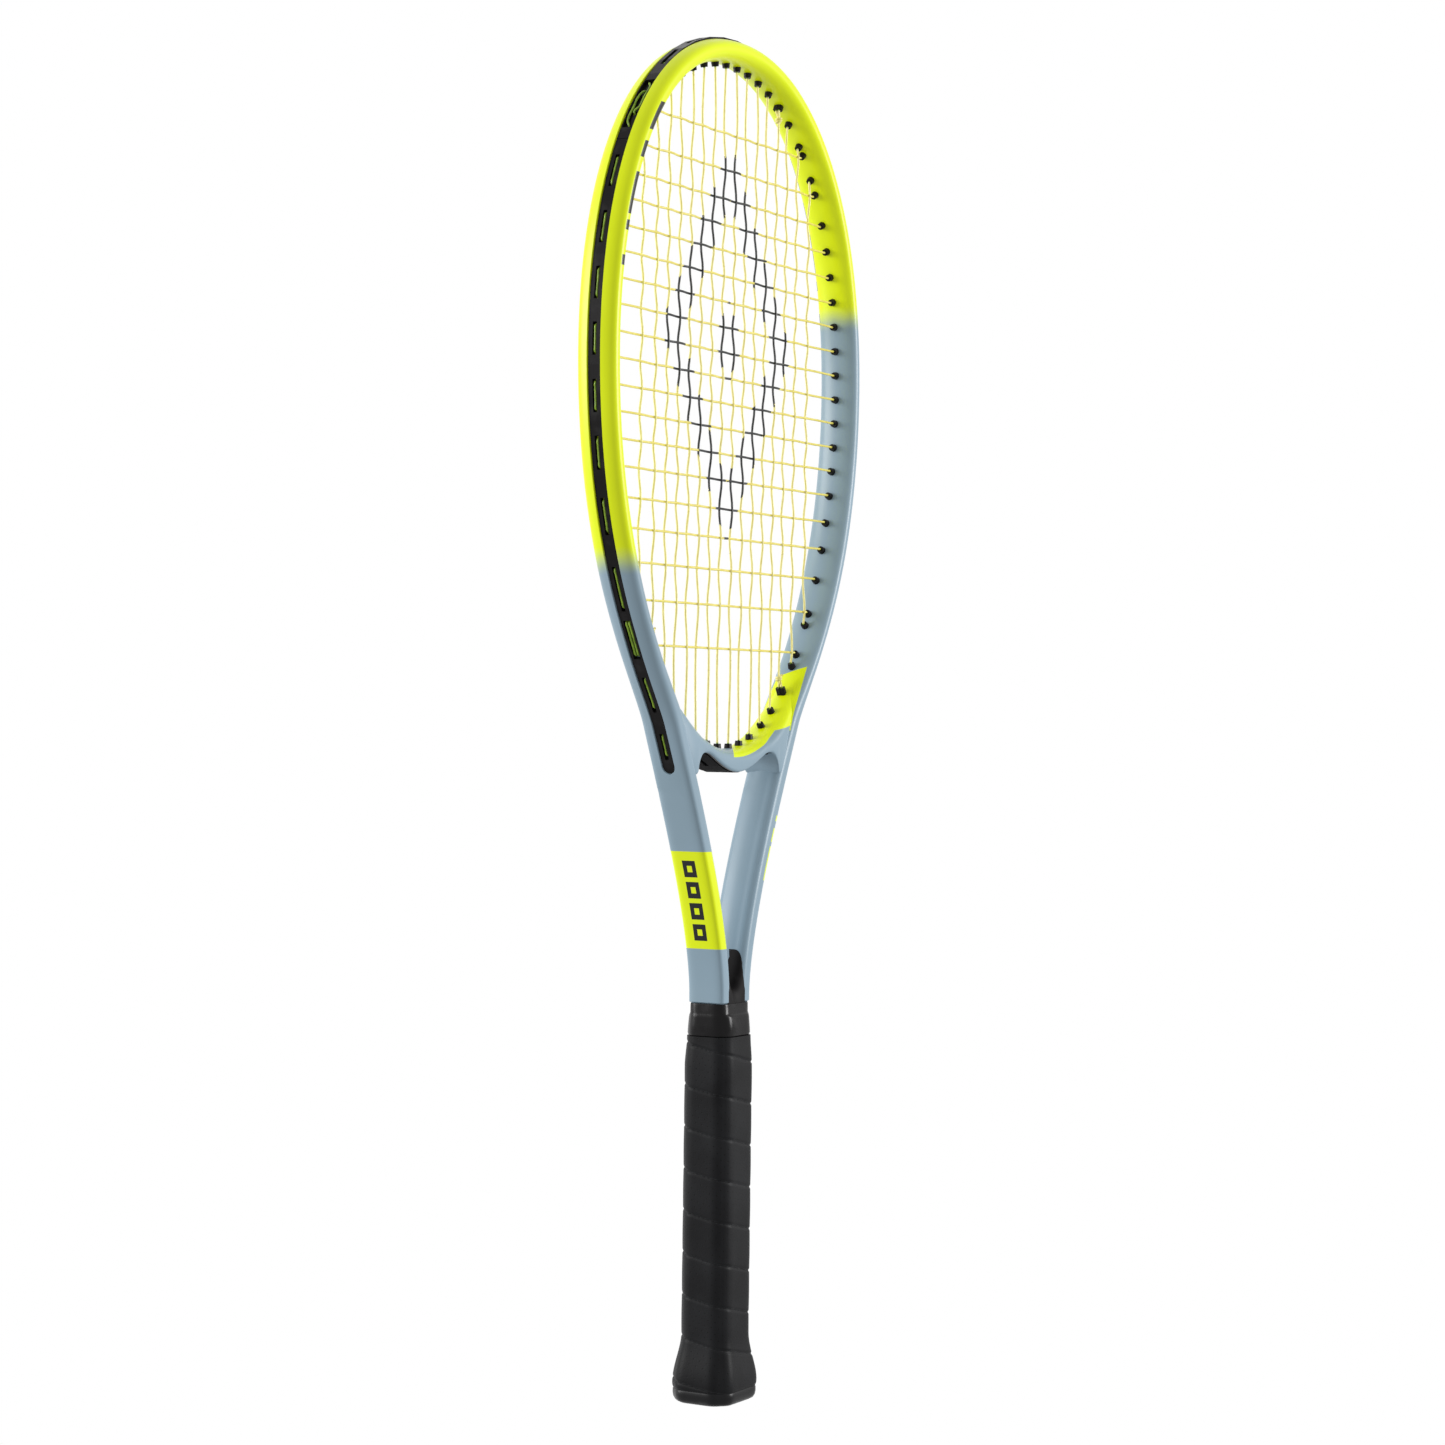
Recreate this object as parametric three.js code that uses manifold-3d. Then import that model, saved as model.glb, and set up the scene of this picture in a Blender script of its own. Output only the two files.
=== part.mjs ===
// A tennis racket: a one-piece hairpin beam with a throat bridge, grommet strips, a bed of
// 16 main and 19 cross strings, and a handle of pallets, butt cap, wrapped grip and collar.
//
// Units are millimetres. Z runs up the racket from the butt to the tip of the head, X runs
// across the string bed, and Y through it, with the front at -Y. The origin is the centre
// of the butt's flat end.
import * as THREE from "three";
import { mergeVertices } from "three/addons/utils/BufferGeometryUtils.js";
import Module from "manifold-3d";

const wasm = await Module();
wasm.setup();

// ---------------------------------------------------------------- driving dimensions

const LENGTH = 685.8; // 27 inches
const GAP = 0.3; // air between neighbouring pieces

// Head guard.
const GUARD_PROUD = 1.1; // height above the beam's outer face at the tip
const GUARD_FLUSH = { from: 30, to: 85 }; // distances from the tip between which it sinks below that face

// Centreline of the beam, right half, as (x, z).
const HEAD_WALL = 11; // beam width at the tip of the head
const TIP_Z = LENGTH - GUARD_PROUD - HEAD_WALL / 2;
const SIDE = { x: 121.5, z: 519.5 }; // widest place of the head
const YOKE = { x: 58.2, z: 342.2 }; // where the arms leave the head
const SHAFT = { x: 9.5, z: 204 }; // where the arms meet above the handle
const LEG = { x: 6.2, top: 187, bottom: 40 }; // the arms' ends inside the handle

// Beam width (in the plane of the strings) and depth (through it), by height.
const BEAM_WIDTH = [
  [LEG.top, 9.2],
  [197, 7.6],
  [201, 7.6],
  [201.2, 10],
  [300, 10.2],
  [345, 11],
  [385, 9.4],
  [440, 10.5],
  [560, 10.4],
  [TIP_Z, HEAD_WALL],
];
const BEAM_DEPTH = [
  [LEG.top, 18],
  [197, 18.6],
  [201, 18.6],
  [201.2, 20.6],
  [320, 20.8],
  [420, 21.8],
  [600, 22],
  [TIP_Z, 21.4],
];
const ARM_SHAPE = { full: 300, none: 372 }; // heights between which the head's oval turns boxy

// Channel in the beam's outer face, with the grommet strip in it.
const CHANNEL = { deep: 3.2, half: 3.6, end: 318.2 };
const STRIP = { half: 3.25, sink: 0.7, base: 0.5, end: 318.6, joint: 618 };
const SLOT = { single: 1.1, shared: 1.95, double: 2.75 }; // half widths of the string slots
const CLEAR = 4; // how far a cutter stands outside the beam
const RING_STEP = 1.5; // least distance between two rings of a bar laid on the beam

// Throat bridge.
const BRIDGE = { top: 328.7, underside: 317, depth: 21, reach: 66, bevel: 2.6 };
const THROAT_STRIP = { reach: 34, half: 7.4, proud: 0.5 }; // the wider strip under the bridge

// Strings and grommets.
const STRING_HALF = 0.6; // half the side of the string's squared section
const WEAVE = 0.78; // how far a string leans out of the middle plane at each crossing
const MAINS = [5.5, 16.2, 27, 37.6, 48.2, 59, 70.3, 83.4];
const TOP_CROSS = 638.6;
const CROSS_GAPS = [18.3, 14.8, 13, 13, ...Array(8).fill(12.8), 13.2, 14.5, 14.6, 16.2, 17.9, 21.7];
const ARM_EXITS = { 4: 326.5, 5: 337, 6: 350.5, 7: 364.5 }; // heights where these mains leave the arms
const BARREL = { outer: 1.72, bore: 1.16, proud: 2.2, turn: 0.5, root: 0.35 };
const SHARED = { y: 0.86, bore: [1.9, 1.08], outer: [2.5, 1.72] }; // a grommet that holds two strings
const KNOT_HALF = 0.9; // half the thickness of a knot's turns
const PASS = 1.6; // sideways room that a string takes to pass another one's grommet

// Handle. Octagons are [half width, half depth, corner cut].
const GRIP = { thick: 1.9, top: 188 };
const GRIP_FACE = [16, 14, 5.3];
const GRIP_TOP_FACE = [15.2, 13.2, 5];
const COLLAR = { bottom: 184.4, shoulder: 195.4, top: 200.6 };
const PALLET = { bottom: 4.4, top: 188, step: 38.6 };
const CAP = { top: 38.2, flange: 6.2, floor: 4, badgeRadius: 11, badgeDeep: 2.3 };
const STAPLE = { z: 30, width: 6, wire: 0.8, length: 6.5, offset: 5 };

// ---------------------------------------------------------------------- small helpers

const V = (x, y, z) => new THREE.Vector3(x, y, z);
const P = (x, z) => new THREE.Vector2(x, z);
const mix = (a, b, f) => a + (b - a) * f;
const grow = (octagon, by) => [octagon[0] + by, octagon[1] + by, octagon[2] + by * 0.59];

// Value of a [height, value] table at a height, straight between its entries.
function atHeight(table, z) {
  if (z <= table[0][0]) return table[0][1];
  for (let i = 1; i < table.length; i++) {
    const [low, before] = table[i - 1];
    const [high, after] = table[i];
    if (z <= high) return mix(before, after, (z - low) / (high - low));
  }
  return table[table.length - 1][1];
}

// Closed body through rings of equally many points. A looped body joins its last ring to
// its first; any other is closed by a flat face at each end.
function loft(rings, looped = false) {
  const count = rings[0].length;
  const corners = rings.flat();
  const faces = [];
  const steps = looped ? rings.length : rings.length - 1;
  for (let ring = 0; ring < steps; ring++) {
    const here = ring * count;
    const next = ((ring + 1) % rings.length) * count;
    for (let k = 0; k < count; k++) {
      const l = (k + 1) % count;
      faces.push([here + k, here + l, next + l], [here + k, next + l, next + k]);
    }
  }
  if (!looped) {
    const end = corners.length - count;
    for (let k = 1; k < count - 1; k++) faces.push([0, k + 1, k], [end, end + k, end + k + 1]);
  }
  let volume = 0;
  for (const [a, b, c] of faces) volume += corners[a].dot(corners[b].clone().cross(corners[c]));
  const outward = volume > 0 ? faces : faces.map(([a, b, c]) => [a, c, b]);
  const geometry = new THREE.BufferGeometry().setFromPoints(corners);
  return geometry.setIndex(outward.flat());
}

function solid(geometry) {
  const bare = geometry.clone();
  bare.deleteAttribute("normal");
  bare.deleteAttribute("uv");
  const merged = mergeVertices(bare);
  return new wasm.Manifold(
    new wasm.Mesh({
      numProp: 3,
      vertProperties: merged.attributes.position.array,
      triVerts: new Uint32Array(merged.index.array),
    }),
  );
}

function geometryOf(manifold) {
  const { vertProperties, triVerts } = manifold.getMesh();
  const indexed = new THREE.BufferGeometry()
    .setAttribute("position", new THREE.BufferAttribute(vertProperties, 3))
    .setIndex(new THREE.BufferAttribute(triVerts, 1));
  const faceted = indexed.toNonIndexed();
  faceted.computeVertexNormals();
  return faceted;
}

const cut = (body, tools) => tools.reduce((left, tool) => left.subtract(tool), body);
const join = (bodies) => bodies.reduce((all, body) => all.add(body));
const box = (low, high) => {
  const size = high.clone().sub(low);
  const middle = low.clone().add(high).multiplyScalar(0.5);
  return solid(new THREE.BoxGeometry(size.x, size.y, size.z).translate(middle.x, middle.y, middle.z));
};

// Flat outline in (x, z), given a depth through Y and bevelled along both faces.
function plate(outline, depth, bevel) {
  const geometry = new THREE.ExtrudeGeometry(new THREE.Shape(outline), {
    depth: depth - 2 * bevel,
    bevelEnabled: bevel > 0,
    bevelThickness: bevel,
    bevelSize: bevel,
    bevelOffset: -bevel,
    bevelSegments: 1,
  });
  geometry.translate(0, 0, bevel - depth / 2);
  return solid(geometry.rotateX(Math.PI / 2));
}

// --------------------------------------------------------------- the beam's centreline

const centreline = new THREE.CurvePath();
centreline.add(new THREE.CubicBezierCurve(P(0, TIP_Z), P(71.7, TIP_Z), P(SIDE.x, 614.8), P(SIDE.x, SIDE.z)));
centreline.add(
  new THREE.CubicBezierCurve(P(SIDE.x, SIDE.z), P(SIDE.x, 411), P(67.1, 360.6), P(YOKE.x, YOKE.z)),
);
centreline.add(
  new THREE.CubicBezierCurve(P(YOKE.x, YOKE.z), P(38.3, 301), P(SHAFT.x, 238), P(SHAFT.x, SHAFT.z)),
);
centreline.add(new THREE.LineCurve(P(SHAFT.x, SHAFT.z), P(SHAFT.x, 197)));
centreline.add(
  new THREE.CubicBezierCurve(P(SHAFT.x, 197), P(SHAFT.x, 193), P(LEG.x, 191), P(LEG.x, LEG.top)),
);
centreline.add(new THREE.LineCurve(P(LEG.x, LEG.top), P(LEG.x, LEG.bottom)));

// Fine samples of the centreline, each with its distance s from the tip and outward normal.
const SAMPLES = 1500;
const HALF_LENGTH = centreline.getLength();
const samples = centreline.getSpacedPoints(SAMPLES).map((point, i) => {
  const tangent = centreline.getTangentAt(i / SAMPLES);
  return { s: (i / SAMPLES) * HALF_LENGTH, x: point.x, z: point.y, nx: -tangent.y, nz: tangent.x };
});

// Centreline point, normal, width and depth at s; negative s runs down the left side.
function beamAt(s) {
  const sign = s < 0 ? -1 : 1;
  const place = (Math.min(Math.abs(s), HALF_LENGTH) / HALF_LENGTH) * SAMPLES;
  const before = samples[Math.floor(place)];
  const after = samples[Math.min(Math.ceil(place), SAMPLES)];
  const f = place - Math.floor(place);
  const z = mix(before.z, after.z, f);
  return {
    x: sign * mix(before.x, after.x, f),
    z,
    nx: sign * mix(before.nx, after.nx, f),
    nz: mix(before.nz, after.nz, f),
    width: atHeight(BEAM_WIDTH, z),
    depth: atHeight(BEAM_DEPTH, z),
  };
}

// Point at distance s along the beam, n outside its centreline, and y through its depth.
function onBeam(s, n, y) {
  const at = beamAt(s);
  return V(at.x + at.nx * n, y, at.z + at.nz * n);
}

// Nearest place on the centreline: s, and how far the point (x, z) lies outside it.
function nearest(x, z) {
  let best = samples[0];
  let least = Infinity;
  for (const sample of samples) {
    const distance = (Math.abs(x) - sample.x) ** 2 + (z - sample.z) ** 2;
    if (distance < least) [best, least] = [sample, distance];
  }
  const n = (Math.abs(x) - best.x) * best.nx + (z - best.z) * best.nz;
  return { s: x < 0 ? -best.s : best.s, n };
}

const sAtHeight = (z) => samples.find((sample) => sample.z <= z).s;
const ROOM = BARREL.proud + BARREL.turn; // from the inner wall to where a string turns

// Half sections of the beam, as [share of half width, share of half depth] from the middle
// of the inner face to the middle of the outer face. The arm's inner face has a ridge.
const HEAD_SECTION = [
  [-1, 0],
  [-0.88, 0.5],
  [-0.5, 0.89],
  [0.05, 1],
  [0.6, 0.86],
  [0.95, 0.5],
  [1, 0],
];
const ARM_SECTION = [
  [-1, 0],
  [-0.86, 0.5],
  [-0.62, 0.92],
  [0.1, 1],
  [0.66, 0.97],
  [1, 0.66],
  [1, 0],
];

function beamRing(s, extra = 0) {
  const at = beamAt(s);
  const { full, none } = ARM_SHAPE;
  const boxy = THREE.MathUtils.smoothstep(none - at.z, 0, none - full);
  const half = HEAD_SECTION.map(([n, y], i) => [
    mix(n, ARM_SECTION[i][0], boxy) * (at.width / 2 + extra),
    mix(y, ARM_SECTION[i][1], boxy) * (at.depth / 2 + extra),
  ]);
  const back = half.slice(1, -1).reverse();
  const outline = [...half, ...back.map(([n, y]) => [n, -y])];
  return outline.map(([n, y]) => onBeam(s, n, y));
}

// Stations along half the beam, close together round the head and wider down the arms.
function stations() {
  const places = [];
  for (let s = 0; s < sAtHeight(322); s += 13) places.push(s);
  const heights = [316, 303, 289, 275, 260, 245, 230, 215, 201.3, 200.9, 197.2, 193, 190, LEG.top];
  return [...places, ...heights.map(sAtHeight)];
}

function beamBody(extra) {
  const right = stations();
  const left = right.slice(1).map((s) => -s);
  const ends = [-HALF_LENGTH, HALF_LENGTH];
  const all = [ends[0], ...left.reverse(), ...right, ends[1]];
  const rings = all.map((s) => beamRing(s, extra));
  const lower = (ring) => ring.map((corner) => corner.clone().setZ(LEG.bottom - extra));
  if (extra > 0) return solid(loft([lower(rings[0]), ...rings.slice(1, -1), lower(rings[rings.length - 1])]));
  return solid(loft(rings));
}

// A bar of rectangular section laid along the beam from s0 to s1, between two heights over
// the beam's outer face. The upper height may vary along s, and an end at roundEnd is a half circle.
function barOnBeam(s0, s1, low, high, half, roundEnd = Infinity) {
  const [first, last] = [Math.min(s0, s1), Math.max(s0, s1)];
  const heightAt = typeof high === "function" ? high : () => high;
  const right = stations();
  const turns = [12, 36, 62, 90].map((degrees) => (degrees * Math.PI) / 180);
  const nose = turns.map((turn) => roundEnd - half * (1 - Math.cos(turn)));
  const straight = right.filter((s) => s < roundEnd - half - RING_STEP);
  const all = (roundEnd < Infinity ? [...straight, ...nose] : right).flatMap((s) => (s ? [s, -s] : [s]));
  const within = all.filter((s) => s > first + 0.05 && s < last - 0.05).sort((a, b) => a - b);
  const ends = [first, last].filter((s) => Math.abs(s) < roundEnd - half);
  const kept = within.filter((s) => ends.every((end) => Math.abs(s - end) > RING_STEP));
  const rings = [...kept, ...ends].sort((a, b) => a - b).map((s) => {
    const from = Math.min(1, (roundEnd - Math.abs(s)) / half);
    const reach = roundEnd < Infinity ? half * Math.sqrt(1 - (1 - from) ** 2) : half;
    const wall = beamAt(s).width / 2;
    return [
      onBeam(s, wall + low, -reach),
      onBeam(s, wall + heightAt(s), -reach),
      onBeam(s, wall + heightAt(s), reach),
      onBeam(s, wall + low, reach),
    ];
  });
  return solid(loft(rings));
}

// Straight bar from a to b, which lie in a plane of constant Y, with a many-sided or, for a
// shared grommet, a flattened section.
function bar(a, b, radius) {
  const along = b.clone().sub(a).normalize();
  const across = along.clone().cross(V(0, 1, 0));
  const section = Array.isArray(radius)
    ? [[1, 0.45], [0.72, 1], [-0.72, 1], [-1, 0.45], [-1, -0.45], [-0.72, -1], [0.72, -1], [1, -0.45]].map(
        ([y, w]) => [y * radius[0], w * radius[1]],
      )
    : Array.from({ length: 6 }, (_, k) => [
        Math.cos((k * Math.PI) / 3) * radius,
        Math.sin((k * Math.PI) / 3) * radius,
      ]);
  const ring = (at) => section.map(([y, w]) => at.clone().addScaledVector(across, w).add(V(0, y, 0)));
  return solid(loft([ring(a), ring(b)]));
}

// ------------------------------------------------------------------------ throat bridge

// Upper edge of the bridge: it carries on the inner outline of the head.
const bridgeTop = new THREE.CubicBezierCurve(
  P(101.9, 430),
  P(77.7, 377.3),
  P(52.7, BRIDGE.top),
  P(0, BRIDGE.top),
);
// Lower edge: a shallow arch, and a fillet that runs down on to the arm.
const bridgeArch = new THREE.CubicBezierCurve(
  P(0, BRIDGE.underside),
  P(9, BRIDGE.underside),
  P(18, 321.5),
  P(26, 325.2),
);
const bridgeFillet = new THREE.CubicBezierCurve(P(26, 325.2), P(33, 328.4), P(39, 327), P(40.2, 314));

const topLine = bridgeTop.getPoints(200);

// Height of the line that runs a given distance inside the head over the bridge.
function overBridge(x, inside) {
  for (let i = 1; i < topLine.length; i++) {
    const [a, b] = [topLine[i - 1], topLine[i]];
    const tangent = b.clone().sub(a).normalize();
    const [ax, bx] = [a.x + tangent.y * inside, b.x + tangent.y * inside];
    if ((ax - x) * (bx - x) <= 0) return mix(a.y, b.y, (x - ax) / (bx - ax)) - tangent.x * inside;
  }
  return -Infinity;
}

function underBridge(x) {
  const points = bridgeArch.getPoints(60).concat(bridgeFillet.getPoints(30).slice(1));
  for (let i = 1; i < points.length; i++) {
    const [a, b] = [points[i - 1], points[i]];
    if (Math.abs(x) >= a.x && Math.abs(x) <= b.x) return mix(a.y, b.y, (Math.abs(x) - a.x) / (b.x - a.x));
  }
  return points[points.length - 1].y;
}

function bridgeOutline() {
  const from = topLine.findIndex((point) => point.x < BRIDGE.reach);
  const top = topLine.slice(from).filter((_, i) => i % 14 === 0);
  const arch = bridgeArch.getPoints(4).slice(1);
  const fillet = bridgeFillet.getPoints(4).slice(1);
  const armHeights = [320, 340, 356];
  const arm = armHeights.map((z) => P(beamAt(sAtHeight(z)).x, z));
  const right = [...arch, ...fillet, ...arm, ...top.filter((point) => point.x > 3)];
  const left = right.map((point) => P(-point.x, point.y)).reverse();
  return [P(0, BRIDGE.underside), ...right, P(0, BRIDGE.top), ...left];
}

// -------------------------------------------------------------------- grommets and holes

const CROSSES = CROSS_GAPS.reduce((heights, gap) => [...heights, heights.at(-1) - gap], [TOP_CROSS]);

const MAIN_COUNT = MAINS.length;

// The line on which strings turn at the inner mouths of their grommets.
const turnLine = samples.map((sample) => {
  const n = -(atHeight(BEAM_WIDTH, sample.z) / 2 + ROOM);
  return P(sample.x + sample.nx * n, sample.z + sample.nz * n);
});

function turnAtX(x, upper) {
  const line = turnLine.filter((_, i) => (upper ? samples[i].z > SIDE.z : samples[i].z <= SIDE.z));
  for (let i = 1; i < line.length; i++) {
    const [a, b] = [line[i - 1], line[i]];
    if ((a.x - x) * (b.x - x) <= 0 && a.x !== b.x) return mix(a.y, b.y, (x - a.x) / (b.x - a.x));
  }
  return -Infinity;
}

function turnAtHeight(z) {
  for (let i = 1; i < turnLine.length; i++) {
    const [a, b] = [turnLine[i - 1], turnLine[i]];
    if (a.y > z && b.y <= z && a.x > 40) return mix(a.x, b.x, (z - a.y) / (b.y - a.y));
  }
  return 0;
}

// A grommet: where its string turns, the way it leaves, and the middle of its mouth in the
// slot. y and spare say where the string and a second one sit in a shared grommet.
function beamGrommet(turn, way, options = {}) {
  const rise = -CHANNEL.deep + GAP + STRIP.base;
  const reach = (height) => {
    let [near, far] = [0, 45];
    for (let i = 0; i < 40; i++) {
      const middle = (near + far) / 2;
      const at = turn.clone().addScaledVector(way, middle);
      const place = nearest(at.x, at.z);
      if (place.n < beamAt(place.s).width / 2 + height) near = middle;
      else far = middle;
    }
    return turn.clone().addScaledVector(way, near);
  };
  const mouth = reach(rise);
  return {
    turn,
    way,
    mouth,
    root: reach(-CHANNEL.deep + GAP + BARREL.root),
    floor: reach(-0.3),
    far: reach(2),
    s: nearest(mouth.x, mouth.z).s,
    shared: false,
    y: 0,
    ...options,
  };
}

const normalAt = (turn) => {
  const at = beamAt(nearest(turn.x, turn.z).s);
  return V(at.nx, 0, at.nz).normalize();
};

function mainTop(index, side) {
  const turn = V(side * MAINS[index - 1], 0, turnAtX(MAINS[index - 1], true));
  const shared = side > 0 && index === 5;
  return beamGrommet(turn, normalAt(turn), { shared, y: shared ? -SHARED.y : 0 });
}

function mainBottom(index, side) {
  const x = MAINS[index - 1];
  const overThroat = x < BRIDGE.reach;
  const turn = V(side * x, 0, overThroat ? overBridge(x, ROOM) : turnAtX(x, false));
  if (index <= 3) {
    const under = underBridge(x);
    const down = (height) => V(side * x, 0, under + height);
    return {
      turn,
      way: V(0, 0, -1),
      mouth: down(CHANNEL.deep - GAP - STRIP.base),
      root: down(CHANNEL.deep - GAP - BARREL.root),
      floor: down(0.5),
      far: down(-2),
      bridge: true,
      shared: false,
      y: 0,
    };
  }
  if (index in ARM_EXITS) {
    const at = sAtHeight(ARM_EXITS[index]);
    const target = onBeam(side * at, beamAt(at).width / 2 - 2, 0);
    const shared = side > 0 && index === 6;
    return beamGrommet(turn, target.sub(turn).normalize(), { shared, y: shared ? SHARED.y : 0 });
  }
  const shared = side < 0 && index === MAIN_COUNT;
  return beamGrommet(turn, normalAt(turn), { shared, y: shared ? SHARED.y : 0 });
}

function crossEnd(row, side) {
  const z = CROSSES[row - 1];
  const turn = V(side * turnAtHeight(z), 0, z);
  const shared = side < 0 && row === CROSSES.length;
  return beamGrommet(turn, normalAt(turn), { shared, y: shared ? -SHARED.y : 0 });
}

const mains = [];
for (const side of [-1, 1])
  for (let index = 1; index <= MAIN_COUNT; index++)
    mains.push({
      index,
      side,
      x: side * MAINS[index - 1],
      top: mainTop(index, side),
      bottom: mainBottom(index, side),
      column: side < 0 ? MAIN_COUNT + 1 - index : MAIN_COUNT + index,
    });
const mainOf = (index, side) => mains.find((main) => main.index === index && main.side === side);
const crosses = CROSSES.map((z, i) => ({
  row: i + 1,
  z,
  left: crossEnd(i + 1, -1),
  right: crossEnd(i + 1, 1),
}));
const crossOf = (row) => crosses[row - 1];
const grommets = [
  ...mains.flatMap((main) => [main.top, main.bottom]),
  ...crosses.flatMap((cross) => [cross.left, cross.right]),
];

// A main lies in front of a cross where their numbers add up to an even number.
const frontMain = (main, cross) => (main.column + cross.row) % 2 === 0;
const meets = (main, cross) =>
  Math.abs(main.x) < cross.right.turn.x - 1 &&
  cross.z < main.top.turn.z - 1 &&
  cross.z > main.bottom.turn.z + 1;

// ------------------------------------------------------------------------------ strings

// Body of a string along a line of points, with a squared section mitred at each bend.
function stringBody(points) {
  const ways = points.slice(1).map((point, i) => point.clone().sub(points[i]).normalize());
  const side = ways[0].clone().cross(V(0, 1, 0)).normalize();
  const other = ways[0].clone().cross(side);
  const corner = (a, b) => points[0].clone().addScaledVector(side, a).addScaledVector(other, b);
  const h = STRING_HALF;
  let ring = [corner(h, h), corner(-h, h), corner(-h, -h), corner(h, -h)];
  const rings = [ring];
  for (let i = 1; i < points.length; i++) {
    const way = ways[i - 1];
    const mitre = i < ways.length ? way.clone().add(ways[i]).normalize() : way;
    ring = ring.map((at) => {
      const distance = points[i].clone().sub(at).dot(mitre) / way.dot(mitre);
      return at.clone().addScaledVector(way, distance);
    });
    rings.push(ring);
  }
  return solid(loft(rings));
}

const MOUTH_RISE = 0.25; // height over the slot's floor at which a string starts to turn
const RUN_RISE = 0.9; // height of the string's middle over the slot's floor
const TURN_RUN = 0.85; // length that the turn takes along the slot
const LANE_RUN = 3.2; // length in which a string that passes another's grommet moves aside

// Points of a string that leaves one grommet, runs outside, and enters the next.
function outsideRun(from, to, runY, fromY = from.y, toY = to.y) {
  const leave = from.mouth.clone().addScaledVector(from.way, MOUTH_RISE).setY(fromY);
  const enter = to.mouth.clone().addScaledVector(to.way, MOUTH_RISE).setY(toY);
  if (from.bridge) {
    const sign = Math.sign(to.mouth.x - from.mouth.x);
    const run = (x) => V(x, runY, underBridge(x) + CHANNEL.deep - GAP - STRIP.base - RUN_RISE);
    const first = run(from.mouth.x + sign * TURN_RUN);
    const last = run(to.mouth.x - sign * TURN_RUN);
    return [leave, first, run((from.mouth.x + to.mouth.x) / 2), last, enter];
  }
  const sign = Math.sign(to.s - from.s);
  const length = Math.abs(to.s - from.s);
  const run = (along, y) => {
    const s = from.s + sign * along;
    return onBeam(s, beamAt(s).width / 2 - CHANNEL.deep + GAP + STRIP.base + RUN_RISE, y);
  };
  const steps = Math.max(1, Math.round((length - 2 * LANE_RUN) / 9));
  const between = Array.from({ length: steps + 1 }, (_, i) =>
    run(mix(LANE_RUN, length - LANE_RUN, i / steps), runY),
  );
  const plain = runY === fromY && runY === toY && length < 16;
  return [
    leave,
    run(TURN_RUN, fromY),
    ...(plain ? [run(length / 2, runY)] : between),
    run(length - TURN_RUN, toY),
    enter,
  ];
}

// A grommet's inner turning point, at the string's own place through a shared grommet.
const turnPoint = (grommet, y = grommet.y) => grommet.turn.clone().setY(y);

function mainRun(main, upwards) {
  const woven = crosses
    .filter((cross) => meets(main, cross))
    .map((cross) => V(main.x, frontMain(main, cross) ? -WEAVE : WEAVE, cross.z));
  const down = [turnPoint(main.top), ...woven, turnPoint(main.bottom)];
  return upwards ? down.reverse() : down;
}

function crossRun(cross, leftwards) {
  const woven = mains
    .filter((main) => meets(main, cross))
    .sort((a, b) => a.x - b.x)
    .map((main) => V(main.x, frontMain(main, cross) ? WEAVE : -WEAVE, cross.z));
  const right = [turnPoint(cross.left), ...woven, turnPoint(cross.right)];
  return leftwards ? right.reverse() : right;
}

// The point of a main at a height between its turns.
function onMain(main, z) {
  const run = mainRun(main, false);
  const i = run.findIndex((point) => point.z < z);
  return run[i - 1].clone().lerp(run[i], (run[i - 1].z - z) / (run[i - 1].z - run[i].z));
}

// A knot round a main, centred on a point of it.
function knot(at) {
  const ring = new THREE.TorusGeometry(STRING_HALF * Math.SQRT2 + GAP + KNOT_HALF, KNOT_HALF, 4, 8);
  return solid(ring.translate(at.x, at.y, at.z));
}

// The main string: up and down across the bed from the far left main to the far right one,
// and a knotted tail at each end.
function mainString() {
  const left = mainOf(MAIN_COUNT, -1);
  const right = mainOf(MAIN_COUNT, 1);
  const order = [...mains].sort((a, b) => a.x - b.x);
  const points = [];
  const leftHole = crossOf(CROSSES.length).left;
  const leftKnot = onMain(mainOf(7, -1), leftHole.turn.z + 6.4);
  points.push(leftKnot.clone().add(V(-1.9, 0.3, 0)), turnPoint(leftHole, SHARED.y));
  points.push(...outsideRun(leftHole, left.bottom, SHARED.y, SHARED.y, SHARED.y));
  order.forEach((main, i) => {
    const upwards = i % 2 === 0;
    points.push(...mainRun(main, upwards));
    const next = order[i + 1];
    if (!next) return;
    const [from, to] = upwards ? [main.top, next.top] : [main.bottom, next.bottom];
    const outer = Math.max(main.index, next.index);
    const crowded = upwards && outer === MAIN_COUNT;
    const besideTail = main.side > 0 && outer === (upwards ? 6 : 7);
    const lane = upwards ? -SHARED.y : SHARED.y;
    points.push(...outsideRun(from, to, crowded ? -PASS : besideTail ? lane : 0));
  });
  const tie = mainOf(6, 1);
  const rightKnot = onMain(tie, tie.bottom.turn.z + 4.4);
  points.push(...outsideRun(right.bottom, tie.bottom, -PASS, 0, -SHARED.y));
  points.push(turnPoint(tie.bottom, -SHARED.y), rightKnot.clone().add(V(0, -1.9, 0)));
  return join([stringBody(points), knot(leftKnot), knot(rightKnot)]);
}

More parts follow.
